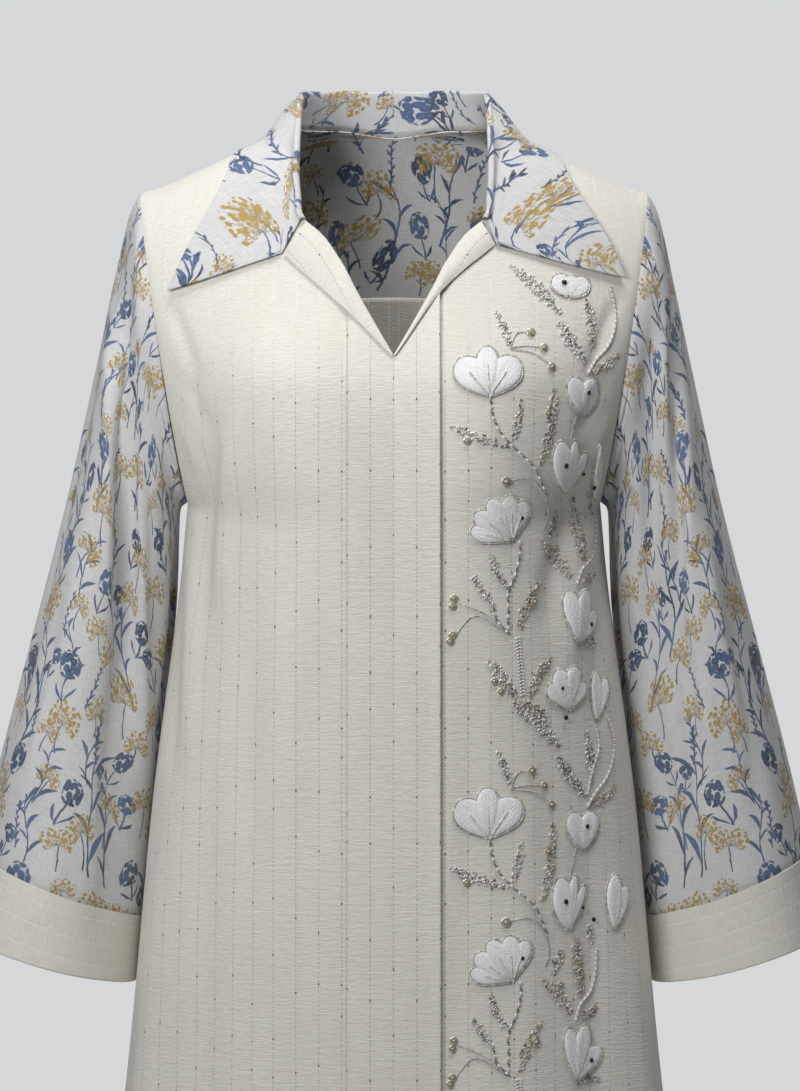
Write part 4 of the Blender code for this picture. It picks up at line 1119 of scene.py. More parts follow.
FLOWER_FOOT = (0.0, -0.95)
PETALS = (
    (Petal((-0.78, 0.52), 0.58, 0.64, 0.8), Petal((0.78, 0.52), 0.58, 0.64, 0.8),
     Petal((0.0, 0.98), 0.42, 0.66)),
    (Petal((-0.52, 0.86), 0.52, 0.62, 0.8), Petal((0.56, 0.72), 0.54, 0.60)),
    (Petal((-0.44, 0.90), 0.56, 0.52), Petal((0.30, 0.95), 0.26, 0.60, 0.9),
     Petal((0.84, 0.55), 0.24, 0.60, 0.8)),
    (Petal((-0.30, 0.92), 0.44, 0.60), Petal((0.42, 0.55), 0.42, 0.60, 0.8)),
    (Petal((-0.95, 0.18), 0.34, 0.70, 0.7), Petal((0.92, 0.30), 0.34, 0.70, 0.7),
     Petal((-0.60, 0.72), 0.36, 0.72, 0.8), Petal((0.56, 0.76), 0.36, 0.72, 0.8),
     Petal((-0.02, 0.95), 0.36, 0.72)),
    (Petal((-0.68, 0.84), 0.32, 0.62, 0.8), Petal((0.80, 0.25), 0.40, 0.62, 0.8),
     Petal((0.06, 0.96), 0.38, 0.64)),
    (Petal((-0.85, 0.30), 0.40, 0.66, 0.7), Petal((0.90, 0.15), 0.38, 0.66, 0.7),
     Petal((-0.35, 0.86), 0.42, 0.66, 0.9), Petal((0.42, 0.90), 0.40, 0.66)),
    (Petal((-0.34, 0.90), 0.46, 0.62), Petal((0.50, 0.62), 0.44, 0.60, 0.8)),
    (Petal((-0.66, 1.15), 0.95, 0.60, 0.5), Petal((0.66, 1.15), 0.95, 0.60, 0.5),
     Petal((0.0, 1.30), 0.85, 0.60, 0.6)),
)
PETAL_HEIGHT = 0.0028
PETAL_FULLNESS = 0.6
DOME_FULLNESS, DOME_ENDS = 0.6, 0.4
PETAL_ROWS, PETAL_COLUMNS = 30, 21
SATIN_RIDGES, SATIN_RIDGE_DEPTH, SATIN_RIDGE_SLANT = 34, 0.06, 3
MIDDLE_GROOVE, MIDDLE_GROOVE_WIDTH = 0.34, 0.15
SIDE_GROOVE, SIDE_GROOVE_WIDTH, SIDE_GROOVE_AT = 0.12, 0.10, 0.5
VEINED_WIDTH = 0.02
VEIN_FROM, VEIN_TO, VEIN_POINTS = 0.10, 0.62, 12
OUTLINE_FROM = 0.02
OUTLINE_MARGIN = 0.0007


@dataclass
class Applique:
    """The raised flowers down the wearer's left front."""
    white: bpy.types.Material

    def rows(self) -> list[dict[str, float]]:
        """The flowers of the first repeat and those below it, down to the hem."""
        made = [UNDER_COLLAR_FLOWER]
        for repeat in range(REPEATS):
            for row in records(FLOWERS):
                if repeat == 0 and row["x"] > UNDERARM_X:
                    row["x"], row["width"] = ARMHOLE_FLOWER_X, ARMHOLE_FLOWER_WIDTH
                row["z"] -= FLOWER_REPEAT * repeat
                if row["z"] - row["height"] > HEM_Z + HEM_MARGIN:
                    made.append(row)
        return made

    def petal_plan(self, row: dict[str, float], petal: Petal, s: Array, across: Array,
                   margin: float = 0.0) -> tuple[Array, Array, float]:
        """Places in the front view along a petal (0 to 1) and across it (-1 to 1), and its length.

        Its half width is sin(pi s to a power) to the 0.6, the power setting where it is widest,
        and the margin is added to it.
        """
        bulge = np.sin(math.pi * s ** (math.log(0.5) / math.log(petal.peak)))
        wide = bulge ** PETAL_FULLNESS * petal.width
        dx = (petal.tip[0] - FLOWER_FOOT[0]) * row["width"]
        dz = (petal.tip[1] - FLOWER_FOOT[1]) * row["height"]
        length = math.hypot(dx, dz)
        reach = (wide * min(row["width"], row["height"]) + margin) * across
        px = FLOWER_FOOT[0] * row["width"] + dx * s + dz / length * reach
        pz = FLOWER_FOOT[1] * row["height"] + dz * s - dx / length * reach
        lean = math.radians(row["lean"])
        x = row["x"] + px * math.cos(lean) - pz * math.sin(lean)
        z = row["z"] + px * math.sin(lean) + pz * math.cos(lean)
        return x, z, length

    def petal(self, row: dict[str, float], petal: Petal) -> Skin:
        """A petal: a flat-bottomed tube along its line, closed at both ends, with satin ridges."""
        s = np.linspace(0, 1, PETAL_ROWS)[:, None]
        a = np.radians(np.linspace(0, 360, PETAL_COLUMNS))[None, :]
        across = np.cos(a)
        x, z, length = self.petal_plan(row, petal, s, across)
        dome = np.clip(np.sin(a), 0, 1) ** DOME_FULLNESS * np.sin(math.pi * s) ** DOME_ENDS
        ridges = 1 + SATIN_RIDGE_DEPTH * np.cos(SATIN_RIDGES * s * math.pi + SATIN_RIDGE_SLANT * across)
        middle = MIDDLE_GROOVE * bell(across, MIDDLE_GROOVE_WIDTH)
        sides = SIDE_GROOVE * bell(np.abs(across) - SIDE_GROOVE_AT, SIDE_GROOVE_WIDTH)
        groove = 1 - (middle + sides) * np.sin(math.pi * s)
        points = on_front(x, z, FLOWER_LIE + PETAL_HEIGHT * petal.lift * dome * ridges * groove)
        size = min(row["width"], row["height"]) * petal.width
        flat = np.stack(np.broadcast_arrays(s * length, across * size), axis=-1)
        return Skin(points, flat)

    def flower(self, index: int, row: dict[str, float]) -> None:
        """One flower of two to five petals."""
        skins = [self.petal(row, petal) for petal in PETALS[int(row["kind"])]]
        made = cloth_object(f"flower_{index:02d}_petals", skins, (0, 0, 0), wall=0)
        face_outwards(made)
        finished(made, self.white, "applique", f"flower_{index:02d}")

    def build(self) -> None:
        """Every flower."""
        for index, row in enumerate(self.rows(), 1):
            self.flower(index, row)

    def outlines(self) -> list[Array]:
        """A line in the front view round each petal, from its foot by one side to the other."""
        s = np.linspace(OUTLINE_FROM, 1, PETAL_ROWS)
        lines = []
        for row in self.rows():
            for petal in PETALS[int(row["kind"])]:
                there = self.petal_plan(row, petal, s, 1, OUTLINE_MARGIN)[:2]
                back = self.petal_plan(row, petal, s[::-1], -1, OUTLINE_MARGIN)[:2]
                lines.append(np.concatenate([there, back], axis=1).T)
        return lines

    def veins(self) -> list[Array]:
        """A line in the front view up the middle of each petal of the wider flowers."""
        s = np.linspace(VEIN_FROM, VEIN_TO, VEIN_POINTS)
        wide = [row for row in self.rows() if row["width"] > VEINED_WIDTH]
        return [np.stack(self.petal_plan(row, petal, s, 0.0)[:2], axis=1)
                for row in wide for petal in PETALS[int(row["kind"])]]


# Beads, threads, sequins and stones

MM = 0.001
BEAD_SEED = 11
DARK_SHARE, GOLD_SHARE = 0.16, 0.6
HEM_CLEAR = 0.012
LEAF_FROM, LEAF_TO, LEAF_BLUNTNESS, LEAF_MARGIN = 0.03, 0.99, 0.6, 0.02
LEAF_PITCH, LEAF_LOBE, LEAF_LOBE_DEPTH = 0.0017, 0.0085, 0.10
LEAF_BEAD_SIZE, LEAF_BEAD_SPREAD = 0.75, 0.35
LEAF_SHIFT_ALONG, LEAF_SHIFT_ACROSS = 0.45, 0.14
BRAID_OFFSET = 0.0013
# Spacing along a line of stitches, beads, braid and cord
STITCH_PITCH, BEAD_PITCH, BRAID_PITCH, PLY_PITCH = 0.00120, 0.0042, 0.0026, 0.0021
# Turn of each one from its line
STITCH_TURN, BEAD_TURN, BRAID_TURN, PLY_TURN = 0.6, 0.35, 0.9, 0.70
# Tints, from dark grey through silver to white at 0.76, and gold past 0.88
FINE_TINT, STRUNG_TINT, OUTLINE_TINT, VEIN_TINT, BRAID_TINT = 0.46, 0.45, 0.56, 0.62, 0.72
DARK_BEAD_TINT, LIGHT_BEAD_TINT, HELD_BEAD_TINT, GOLD_TINT = 0.12, 0.72, 0.45, 0.95
DARK_PLY_TINT, LIGHT_PLY_TINT = 0.56, 0.80
DARK_TINT, SILVER_TINT, SILVER_TINT_SPREAD = 0.1, 0.30, 0.52
STITCH_TINT_SPREAD = 0.16
# Thickness of threads, in shares of a stitch's
FINE, OUTLINE, VEIN = 0.9, 1.45, 0.95
# Heights over the cloth
THREAD_RISE, OUTLINE_RISE, VEIN_RISE, BRAID_RISE, CORD_RISE = 0.0006, 0.0009, 0.0025, 0.0008, 0.0010
LEAF_BEAD_RISE, BEAD_RISE, SEQUIN_RISE, HELD_BEAD_RISE, STONE_RISE = 0.0007, 0.0013, 0.0012, 0.0019, 0.0026
# Half sizes in mm: along, across and outwards
STITCH = np.array([1.05, 0.46, 0.46])
BRAID_STITCH = np.array([2.1, 0.62, 0.6])
STRUNG_BEAD = np.array([1.7, 0.95, 0.9])
LEAF_BEAD = np.array([1.15, 0.95, 0.65])
CORD_PLY = np.array([1.7, 0.85, 0.85])
# In shares of the stone's own size, and the bead in shares of its sequin's
STONE = np.array([1.0, 1.0, 0.6])
HELD_BEAD_SIZE = 0.32
SEQUIN_PROFILE = np.array([(0.0, 0.0), (0.55, 0.02), (1.0, 0.12), (1.0, -0.05), (0.0, -0.10)])
# Tip and foot of each glitter leaf in the front view, in mm, its width, bow and how golden it is
GLITTER_LEAVES = table(
    "tip_x tip_z foot_x foot_z width bow gold",
    (90, -126, 131, -165, 9.5, 2, 0.10),
    (127, -169, 151, -203, 9.0, -1, 0.00),
    (151, -150, 156, -193, 7.5, 1, 0.00),
    (177, -194, 153, -211, 7.0, 2, 0.75),
    (79, -163, 90, -192, 6.5, 1, 0.00),
    (43, -253, 89, -269, 7.5, -2, 0.05),
    (98, -234, 91, -267, 6.5, 1, 0.05),
    (124, -221, 113, -284, 8.0, 3, 0.35),
    (130, -319, 123, -338, 7.5, 1, 0.00),
    (74, -350, 88, -379, 6.5, -2, 0.00),
    (60, -367, 76, -390, 6.0, -1, 0.05),
    (114, -373, 96, -413, 7.5, -2, 0.70),
    (72, -434, 95, -465, 9.5, 2, 0.20),
    (123, -432, 105, -464, 8.0, -2, 0.70),
    (91, -466, 122, -482, 9.5, 2, 0.20),
    (142, -308, 148, -361, 9.0, 0, 0.65),
    (114, -340, 139, -372, 8.5, 2, 0.50),
    (161, -364, 146, -374, 8.0, 2, 0.60),
    (142, -425, 164, -425, 7.0, 4, 0.40),
    (154, -302, 157, -320, 5.0, 0, 0.10),
)
# Lines in the front view, in mm: x and z by turns
FINE_STEMS = (
    (90, -193, 96, -181, 106, -180),
    (90, -193, 102, -191, 116, -192),
    (91, -194, 109, -197, 122, -206),
    (118, -306, 105, -294, 86, -296),
    (88, -413, 71, -399, 46, -388),
    (88, -414, 61, -400, 46, -416),
    (118, -306, 120, -322, 117, -332),
    (143, -242, 141, -252, 138, -262),
)
BEADED_STEMS = (
    (74, -231, 75, -242, 80, -256, 90, -268, 108, -285, 118, -306),
    (97, -343, 97, -352, 93, -369, 88, -381, 88, -396, 88, -413),
    (76, -390, 79, -403, 88, -413),
)
BRAIDED_STEMS = ((96, -417, 98, -440, 100, -463),)
CORDS = (
    (170, -142, 175, -163, 168, -189, 159, -200, 152, -211),
    (160, -323, 159, -341, 155, -355, 146, -364, 142, -375),
    (160, -489, 162, -503, 156, -523, 152, -542),
)
SEQUINS = table(
    "x z size",
    (106, -180, 3.4),
    (116, -192, 3.2),
    (122, -207, 3.4),
    (56, -265, 3.0),
    (119, -243, 2.8),
    (86, -296, 3.8),
    (46, -386, 3.2),
    (45, -392, 3.0),
    (45, -414, 3.2),
    (43, -419, 3.0),
    (109, -389, 3.4),
    (129, -347, 2.8),
    (113, -443, 2.8),
    (77, -450, 2.8),
    (82, -458, 2.6),
)
STONES = table(
    "x z size",
    (133, -140, 2.2),
    (151, -226, 2.2),
    (133, -283, 2.2),
    (148, -289, 1.5),
    (157, -299, 2.0),
    (155, -408, 1.8),
    (98, -324, 1.6),
    (130, -457, 1.6),
)


def turned(profile: Array, sides: int) -> tuple[Array, Array]:
    """A closed shape round its axis, as points and triangles.

    Args:
        profile: pairs of radius and height, from its top pole to its bottom one.
        sides: how many points each ring between the poles has.
    """
    turn = np.linspace(0, 2 * math.pi, sides, endpoint=False)
    radius, height = profile[1:-1, :1], profile[1:-1, 1:]
    rings = stack(radius * np.cos(turn), radius * np.sin(turn), height).reshape(-1, 3)
    points = np.concatenate([[[0, 0, profile[0, 1]]], rings, [[0, 0, profile[-1, 1]]]])
    i = np.arange(sides)
    k = (i + 1) % sides
    faces = [np.stack([np.zeros(sides, int), 1 + i, 1 + k], axis=1)]
    for a in range(1, len(rings) + 1 - sides, sides):
        b = a + sides
        faces.append(np.stack([a + i, b + i, b + k], axis=1))
        faces.append(np.stack([a + i, b + k, a + k], axis=1))
    last = len(points) - 1
    a = last - sides
    faces.append(np.stack([a + i, np.full(sides, last), a + k], axis=1))
    return points, np.concatenate(faces)


def ball(rings: int, sides: int) -> tuple[Array, Array]:
    """A unit ball with this many rings of points between its poles."""
    up = np.linspace(0, math.pi, rings + 2)
    return turned(np.stack([np.sin(up), np.cos(up)], axis=1), sides)


def front_frames(x: Array, z: Array, rise: Array, heading: Array) -> tuple[Array, Array]:
    """Places over the fronts, and axes there: along a heading of the front view, across, outwards."""
    step = 0.0005
    here = on_front(x, z, rise)
    along = unit(on_front(x + step * np.cos(heading), z + step * np.sin(heading), rise) - here)
    across = on_front(x - step * np.sin(heading), z + step * np.cos(heading), rise) - here
    out = unit(np.cross(along, across))
    return here, np.stack([along, np.cross(out, along), out], axis=1)


def line_through(points: Array, spacing: float) -> tuple[Array, Array, Array]:
    """Places this far apart on the smooth line through points of the front view, and its headings."""
    length = running(steps(points))
    line = {"at": length, "x": points[:, 0], "z": points[:, 1]}
    at = np.arange(0, length[-1], spacing)
    x, z = through(line, "x", at, "at"), through(line, "z", at, "at")
    return x, z, np.arctan2(np.gradient(z), np.gradient(x))


@dataclass
class Scatter:
    """Many small copies of one shape, gathered and then made as one mesh."""
    shape: tuple[Array, Array]

    def __post_init__(self) -> None:
        """Starts with none."""
        self.places: list[tuple[Array, Array, Array, Array]] = []

    def add(self, x: Array, z: Array, rise: Array, heading: Array, size: Array, tint: Array = 0.0) -> None:
        """Sets copies over the fronts: their places, headings, three radii each and tints."""
        if not np.size(x):
            return
        x, z, rise, heading, tint = np.broadcast_arrays(x, z, rise, heading, tint)
        centres, axes = front_frames(x, z, rise, heading)
        self.places.append((centres, axes, np.broadcast_to(size, (len(x), 3)), tint))

    def build(self, name: str, finish: bpy.types.Material) -> bpy.types.Object:
        """The joined mesh, with each copy's tint as an attribute of its points."""
        centres, axes, sizes, tints = (np.concatenate(column) for column in zip(*self.places))
        shape, faces = self.shape
        points = centres[:, None] + np.einsum("pk,nk,nkc->npc", shape, sizes, axes)
        starts = (np.arange(len(centres)) * len(shape))[:, None, None]
        mesh = bpy.data.meshes.new(name)
        fill_mesh(mesh, points.reshape(-1, 3), (faces[None] + starts).reshape(-1, 3))
        tint = mesh.attributes.new("tint", "FLOAT", "POINT")
        tint.data.foreach_set("value", np.repeat(tints, len(shape)).astype(np.float32))
        return finished(new_object(name, mesh), finish, "applique")


@dataclass
class Embroidery:
    """Beads, twisted threads, sequins, stones and cord between the flowers."""
    silver: bpy.types.Material
    gold: bpy.types.Material
    stone: bpy.types.Material
    cord: bpy.types.Material
    outlines: list[Array]
    veins: list[Array]

    def __post_init__(self) -> None:
        """Sets up one scatter for each kind of small thing."""
        self.random = np.random.default_rng(BEAD_SEED)
        self.beads = Scatter(ball(rings=3, sides=6))
        self.stitches = Scatter(ball(rings=2, sides=5))
        self.sequins = Scatter(turned(SEQUIN_PROFILE, sides=12))
        self.stones = Scatter(ball(rings=5, sides=10))
        self.cords = Scatter(ball(rings=3, sides=7))

    def thread(self, line: Array, rise: float, tint: float, size: float = 1.0) -> None:
        """A twisted thread: slanted stitches, each a turn of its two plies."""
        x, z, heading = line_through(line, STITCH_PITCH * size)
        shade = tint + STITCH_TINT_SPREAD * self.random.standard_normal(len(x))
        self.stitches.add(x, z, rise, heading + STITCH_TURN, STITCH * MM * size, shade)

    def fine(self, line: Array) -> None:
        """A fine stem."""
        self.thread(line, THREAD_RISE, FINE_TINT, FINE)

    def beaded(self, line: Array) -> None:
        """A thread with beads on it, light and dark by turns."""
        self.thread(line, THREAD_RISE, STRUNG_TINT)
        x, z, heading = line_through(line, BEAD_PITCH)
        tint = np.where(np.arange(len(x)) % 2, DARK_BEAD_TINT, LIGHT_BEAD_TINT)
        self.beads.add(x, z, BEAD_RISE, heading + BEAD_TURN, STRUNG_BEAD * MM, tint)

    def braided(self, line: Array) -> None:
        """A flat braid: stitches slanted out to both sides of a line."""
        x, z, heading = line_through(line, BRAID_PITCH)
        for side in (1, -1):
            off_x = x - side * BRAID_OFFSET * np.sin(heading)
            off_z = z + side * BRAID_OFFSET * np.cos(heading)
            turned_out = heading + side * BRAID_TURN
            self.stitches.add(off_x, off_z, BRAID_RISE, turned_out, BRAID_STITCH * MM, BRAID_TINT)

    def corded(self, line: Array) -> None:
        """A white cord of two plies, one a little darker."""
        x, z, heading = line_through(line, PLY_PITCH)
        tint = np.where(np.arange(len(x)) % 2, LIGHT_PLY_TINT, DARK_PLY_TINT)
        self.cords.add(x, z, CORD_RISE, heading + PLY_TURN, CORD_PLY * MM, tint)

    def glitter_leaf(self, row: dict[str, float], drop: float) -> None:
        """A leaf of small beads and sequins, in rows across a lens shape, each a little out of place."""
        tip, foot = (np.array([row[f"{end}_x"], row[f"{end}_z"]]) * MM for end in ("tip", "foot"))
        line = foot - tip
        length = float(np.linalg.norm(line))
        side = np.array([-line[1], line[0]]) / length
        width = row["width"] * MM
        along = np.arange(LEAF_FROM, LEAF_TO, LEAF_PITCH / length)
        s, t = np.meshgrid(along, np.arange(-0.5, 0.51, LEAF_PITCH / width))
        s, t = s.ravel(), t.ravel()
        s = s + LEAF_SHIFT_ALONG * LEAF_PITCH / length * self.random.standard_normal(len(s))
        t = t + LEAF_SHIFT_ACROSS * self.random.standard_normal(len(t))
        ragged = 0.5 + LEAF_LOBE_DEPTH * np.sin(s * length / LEAF_LOBE * 2 * math.pi)
        lens = np.sin(math.pi * np.clip(s, 0, 1)) ** LEAF_BLUNTNESS
        inside = np.abs(t) < ragged * lens + LEAF_MARGIN
        s, t = s[inside], t[inside]
        across = t * width + row["bow"] * MM * 4 * s * (1 - s)
        x = tip[0] + line[0] * s + side[0] * across
        z = tip[1] + line[1] * s + side[1] * across - drop
        count = len(x)
        dark = self.random.random(count) < DARK_SHARE
        silver = np.where(dark, DARK_TINT, SILVER_TINT + SILVER_TINT_SPREAD * self.random.random(count))
        tint = np.where(self.random.random(count) < row["gold"] * GOLD_SHARE, GOLD_TINT, silver)
        turn = self.random.random(count) * math.pi
        radius = (LEAF_BEAD_SIZE + LEAF_BEAD_SPREAD * self.random.random(count))[:, None] * MM
        self.beads.add(x, z, LEAF_BEAD_RISE, turn, radius * LEAF_BEAD, tint)

    def repeat(self, drop: float) -> None:
        """Everything between the flowers of one repeat, lowered by drop."""
        lowest = (HEM_Z + HEM_CLEAR + drop) / MM
        for row in records(GLITTER_LEAVES):
            if row["foot_z"] > lowest:
                self.glitter_leaf(row, drop)
        for lines, lay in ((FINE_STEMS, self.fine), (BEADED_STEMS, self.beaded),
                           (BRAIDED_STEMS, self.braided), (CORDS, self.corded)):
            for line in (np.reshape(line, (-1, 2)) for line in lines):
                if line[:, 1].min() > lowest:
                    lay(line * MM - np.array([0.0, drop]))
        x, z, size = self.kept(SEQUINS, lowest)
        self.sequins.add(x, z - drop, SEQUIN_RISE, 0.0, size)
        self.beads.add(x, z - drop, HELD_BEAD_RISE, 0.0, size * HELD_BEAD_SIZE, HELD_BEAD_TINT)
        x, z, size = self.kept(STONES, lowest)
        self.stones.add(x, z - drop, STONE_RISE, 0.0, size * STONE)

    def kept(self, columns: Columns, lowest: float) -> tuple[Array, Array, Array]:
        """Places and sizes in metres of what lies above the lowest height, that in mm."""
        above = columns["z"] > lowest
        x, z, size = (columns[key][above] * MM for key in ("x", "z", "size"))
        return x, z, size[:, None]

    def build(self) -> None:
        """All repeats down to the hem, then the petals' outlines."""
        for repeat in range(REPEATS):
            self.repeat(FLOWER_REPEAT * repeat)
        for line in self.outlines:
            self.thread(line, OUTLINE_RISE, OUTLINE_TINT, OUTLINE)
        for line in self.veins:
            self.thread(line, VEIN_RISE, VEIN_TINT, VEIN)
        self.beads.build("silver_beads", self.silver)
        self.stitches.build("silver_threads", self.silver)
        self.sequins.build("gold_sequins", self.gold)
        self.stones.build("dark_stones", self.stone)
        self.cords.build("white_cords", self.cord)


# Finishes

SHEEN_ROUGHNESS = 0.5


class Nodes:
    """Adds and links nodes of one tree with short calls."""

    def __init__(self, tree: bpy.types.NodeTree) -> None:
        """Works on this tree."""
        self.tree = tree

    def add(self, kind: str, inputs: dict | None = None, **settings: object) -> bpy.types.Node:
        """A shader node of this kind with these settings, its inputs linked or set."""
        node = self.tree.nodes.new("ShaderNode" + kind)
        for name, value in settings.items():
            setattr(node, name, value)
        for key, value in (inputs or {}).items():
            self.put(node.inputs[key], value)
        return node

    def put(self, socket: bpy.types.NodeSocket, value: object) -> None:
        """Links a socket or field to this socket, or sets its value."""
        if isinstance(value, Field):
            value = value.socket
        if isinstance(value, bpy.types.NodeSocket):
            self.tree.links.new(value, socket)
        else:
            socket.default_value = value

    def shade(self, value: object, socket: str = "Base Color") -> None:
        """Links or sets one of the shader's inputs."""
        self.put(self.tree.nodes["Principled BSDF"].inputs[socket], value)

    def math(self, operation: str, *values: object, clamp: bool = False) -> "Field":
        """A Math node's result."""
        node = self.add("Math", dict(enumerate(values)), operation=operation, use_clamp=clamp)
        return Field(self, node.outputs[0])

    def mix(self, share: object, first: object, second: object) -> bpy.types.NodeSocket:
        """Two colours mixed."""
        return self.add("Mix", {0: share, 6: first, 7: second}, data_type="RGBA").outputs[2]

    def flat_cut(self) -> bpy.types.NodeSocket:
        """The place on the cloth's flat cut, in mm."""
        place = self.add("UVMap", uv_map="flat_cut").outputs[0]
        return self.add("VectorMath", {0: place, "Scale": 1 / MM}, operation="SCALE").outputs[0]

    def texture(self, vector: object, scale: float, detail: float) -> bpy.types.Node:
        """A flat noise texture."""
        inputs = {"Vector": vector, "Scale": scale, "Detail": detail}
        return self.add("TexNoise", inputs, noise_dimensions="2D")

    def noise(self, vector: object, grain: Point, detail: float = 2.0) -> "Field":
        """Noise about 0.5 whose grains are this wide and this high."""
        place = self.add("Mapping", {"Vector": vector, "Scale": (*grain, max(grain))}, vector_type="TEXTURE")
        return Field(self, self.texture(place.outputs[0], 1.0, detail).outputs[0])

    def wander(self, vector: object, grain: float, reach: float) -> bpy.types.NodeSocket:
        """The vector moved about by up to half of reach, in grains of this size."""
        way = self.texture(vector, 1 / grain, 1.0).outputs["Color"]
        moved = {0: way, 1: (reach, reach, 0), 2: vector}
        return self.add("VectorMath", moved, operation="MULTIPLY_ADD").outputs[0]

    def cells(self, vector: object, size: float) -> "Field":
        """Distance to the middle of the nearest of scattered cells, in shares of their size."""
        node = self.add("TexVoronoi", {"Vector": vector, "Scale": 1 / size}, voronoi_dimensions="2D")
        return Field(self, node.outputs["Distance"])

    def dice(self, value: object) -> "Field":
        """A random share for each value."""
        node = self.add("TexWhiteNoise", {"W": value}, noise_dimensions="1D")
        return Field(self, node.outputs["Value"])

    def separate(self, vector: object) -> tuple["Field", "Field"]:
        """x and y of a vector."""
        node = self.add("SeparateXYZ", {0: vector})
        return Field(self, node.outputs[0]), Field(self, node.outputs[1])

    def join(self, x: object, y: object) -> bpy.types.NodeSocket:
        """A vector of x and y."""
        return self.add("CombineXYZ", {0: x, 1: y}).outputs[0]

    def bump(self, height: object, depth: float, strength: float) -> None:
        """Raises the surface by up to this depth, in metres."""
        node = self.add("Bump", {"Strength": strength, "Distance": depth, "Height": height})
        self.shade(node.outputs[0], "Normal")


def by_math(operation: str, swapped: bool = False) -> Callable:
    """A method that adds a Math node of this operation, with the field as its first or last value."""
    def method(self: "Field", *others: object) -> "Field":
        """The node's result."""
        return self.nodes.math(operation, *((*others, self) if swapped else (self, *others)))
    return method


class Field:
    """A number that varies over a surface. Arithmetic on it adds Math nodes."""

    def __init__(self, nodes: Nodes, socket: bpy.types.NodeSocket) -> None:
        """Stands for this socket."""
        self.nodes = nodes
        self.socket = socket

    __add__ = __radd__ = by_math("ADD")
    __sub__, __rsub__ = by_math("SUBTRACT"), by_math("SUBTRACT", swapped=True)
    __mul__ = __rmul__ = by_math("MULTIPLY")
    __truediv__ = by_math("DIVIDE")
    __abs__ = by_math("ABSOLUTE")
    __floor__ = by_math("FLOOR")
    # The larger of two masks
    __or__ = by_math("MAXIMUM")

    def below(self, edge: object, soft: float) -> "Field":
        """1 where this is under edge and 0 above it, with a soft step."""
        return self.nodes.math("MULTIPLY_ADD", self - edge, -1 / soft, 0.5, clamp=True)

    def above(self, edge: object, soft: float) -> "Field":
        """1 where this is over edge and 0 below it, with a soft step."""
        return self.below(edge, -soft)


def new_material(name: str, roughness: float, sheen: float = 0.0,
                 metallic: float = 0.0) -> tuple[bpy.types.Material, Nodes]:
    """A material and its nodes."""
    made = bpy.data.materials.new(name)
    made.use_nodes = True
    nodes = Nodes(made.node_tree)
    nodes.shade(roughness, "Roughness")
    nodes.shade(metallic, "Metallic")
    nodes.shade(sheen, "Sheen Weight")
    nodes.shade(SHEEN_ROUGHNESS, "Sheen Roughness")
    return made, nodes


@dataclass(frozen=True)
class StripedCloth:
    """Cream crepe with thin lines of drop stitch and metal thread, sizes in mm.

    first_line is how far the first line lies from the piece's centre line, and round says that the
    lines run across the flat cut, as on the cuffs. The grains are across and along the lines. The
    lines' metal thread is painted lit, a painted glint, down to a set distance along the flat cut and
    painted shaded from there, where its dark specks, dashes of the thread, are painted shade.
    """
    name: str
    first_line: float
    round: bool = False
    cream: tuple = (0.805, 0.788, 0.722, 1)
    worn_cream: tuple = (0.700, 0.680, 0.606, 1)
    glint_and_line_white: tuple = (0.920, 0.915, 0.880, 1)
    shaded_thread: tuple = (0.430, 0.405, 0.350, 1)
    shaded_speck: tuple = (0.170, 0.145, 0.115, 1)
    crepe: Point = (7.0, 0.85)
    ripple: Point = (26.0, 2.6)
    weave: Point = (0.55, 3.2)
    blotch: Point = (60.0, 90.0)
    pitch: float = 17.9
    stitch: float = 3.6
    line: float = 0.34
    groove: float = 0.85
    stitch_share: float = 0.34
    lit_until: float = 262.0
    shades_over: float = 90.0
    speck_room: float = 50.0
    speck_length: float = 0.80
    speck_width: float = 0.62

    def material(self) -> bpy.types.Material:
        """Ground with crepe and slubs, then the lines, their stitches and their dark specks; the lines' metal
        thread is painted lit above and painted shaded below.
        """
        made, nodes = new_material(self.name, 0.86, 0.10)
        place = nodes.flat_cut()
        x, y = nodes.separate(place)
        if self.round:
            x, y = y, x
        lined_up = nodes.join(x, y)
        crepe = nodes.noise(lined_up, self.crepe, 3.0)
        ripple, weave = nodes.noise(lined_up, self.ripple), nodes.noise(lined_up, self.weave)
        blotch = nodes.noise(lined_up, self.blotch)
        line_share = (abs(x) - self.first_line) / self.pitch + 0.5
        line = math.floor(line_share)
        off_line = abs(line_share - line - 0.5) * self.pitch
        run = y / self.stitch + nodes.dice(line) * 7.0
        gap = abs(run - math.floor(run) - 0.5)
        stitches = off_line.below(self.line, 0.25) * gap.below(self.stitch_share, 0.16)
        groove = off_line.below(self.groove, 0.9)
        room = y / self.speck_room + nodes.dice(line + 31.7)
        cell = math.floor(room)
        where = nodes.dice(cell * 5.13 + line * 1.71) * 0.8 + 0.1
        off_speck = abs(room - cell - where) * self.speck_room
        specks = off_speck.below(self.speck_length, 0.45) * off_line.below(self.speck_width, 0.4)
        ground = nodes.mix(crepe.above(0.53, 0.22) * 0.65, self.cream, self.worn_cream)
        ground = nodes.mix(blotch.above(0.60, 0.5) * 0.35, ground, self.worn_cream)
        # Painted shade: below a set distance down the flat cut the metal thread goes from its painted
        # highlight to painted shade, its stitches fade and its dark specks of painted shade show
        painted_shade = y.below(-self.lit_until, self.shades_over)
        thread = nodes.mix(painted_shade, self.glint_and_line_white, self.shaded_thread)
        cloth = nodes.mix(groove * 0.16, ground, self.glint_and_line_white)
        cloth = nodes.mix(stitches * (0.90 - 0.25 * painted_shade), cloth, thread)
        nodes.shade(nodes.mix(specks * painted_shade, cloth, self.shaded_speck))
        height = crepe * 0.60 + ripple * 0.55 + weave * 0.30 + stitches * 0.5 - groove * 0.25
        nodes.bump(height, 0.0010, 0.60)
        return made


@dataclass(frozen=True)
class Motif:
    """Where a motif grows from in its tile, in mm, its turn to the left in degrees, and its size."""
    x: float
    y: float
    turn: float = 0.0
    size: float = 1.0


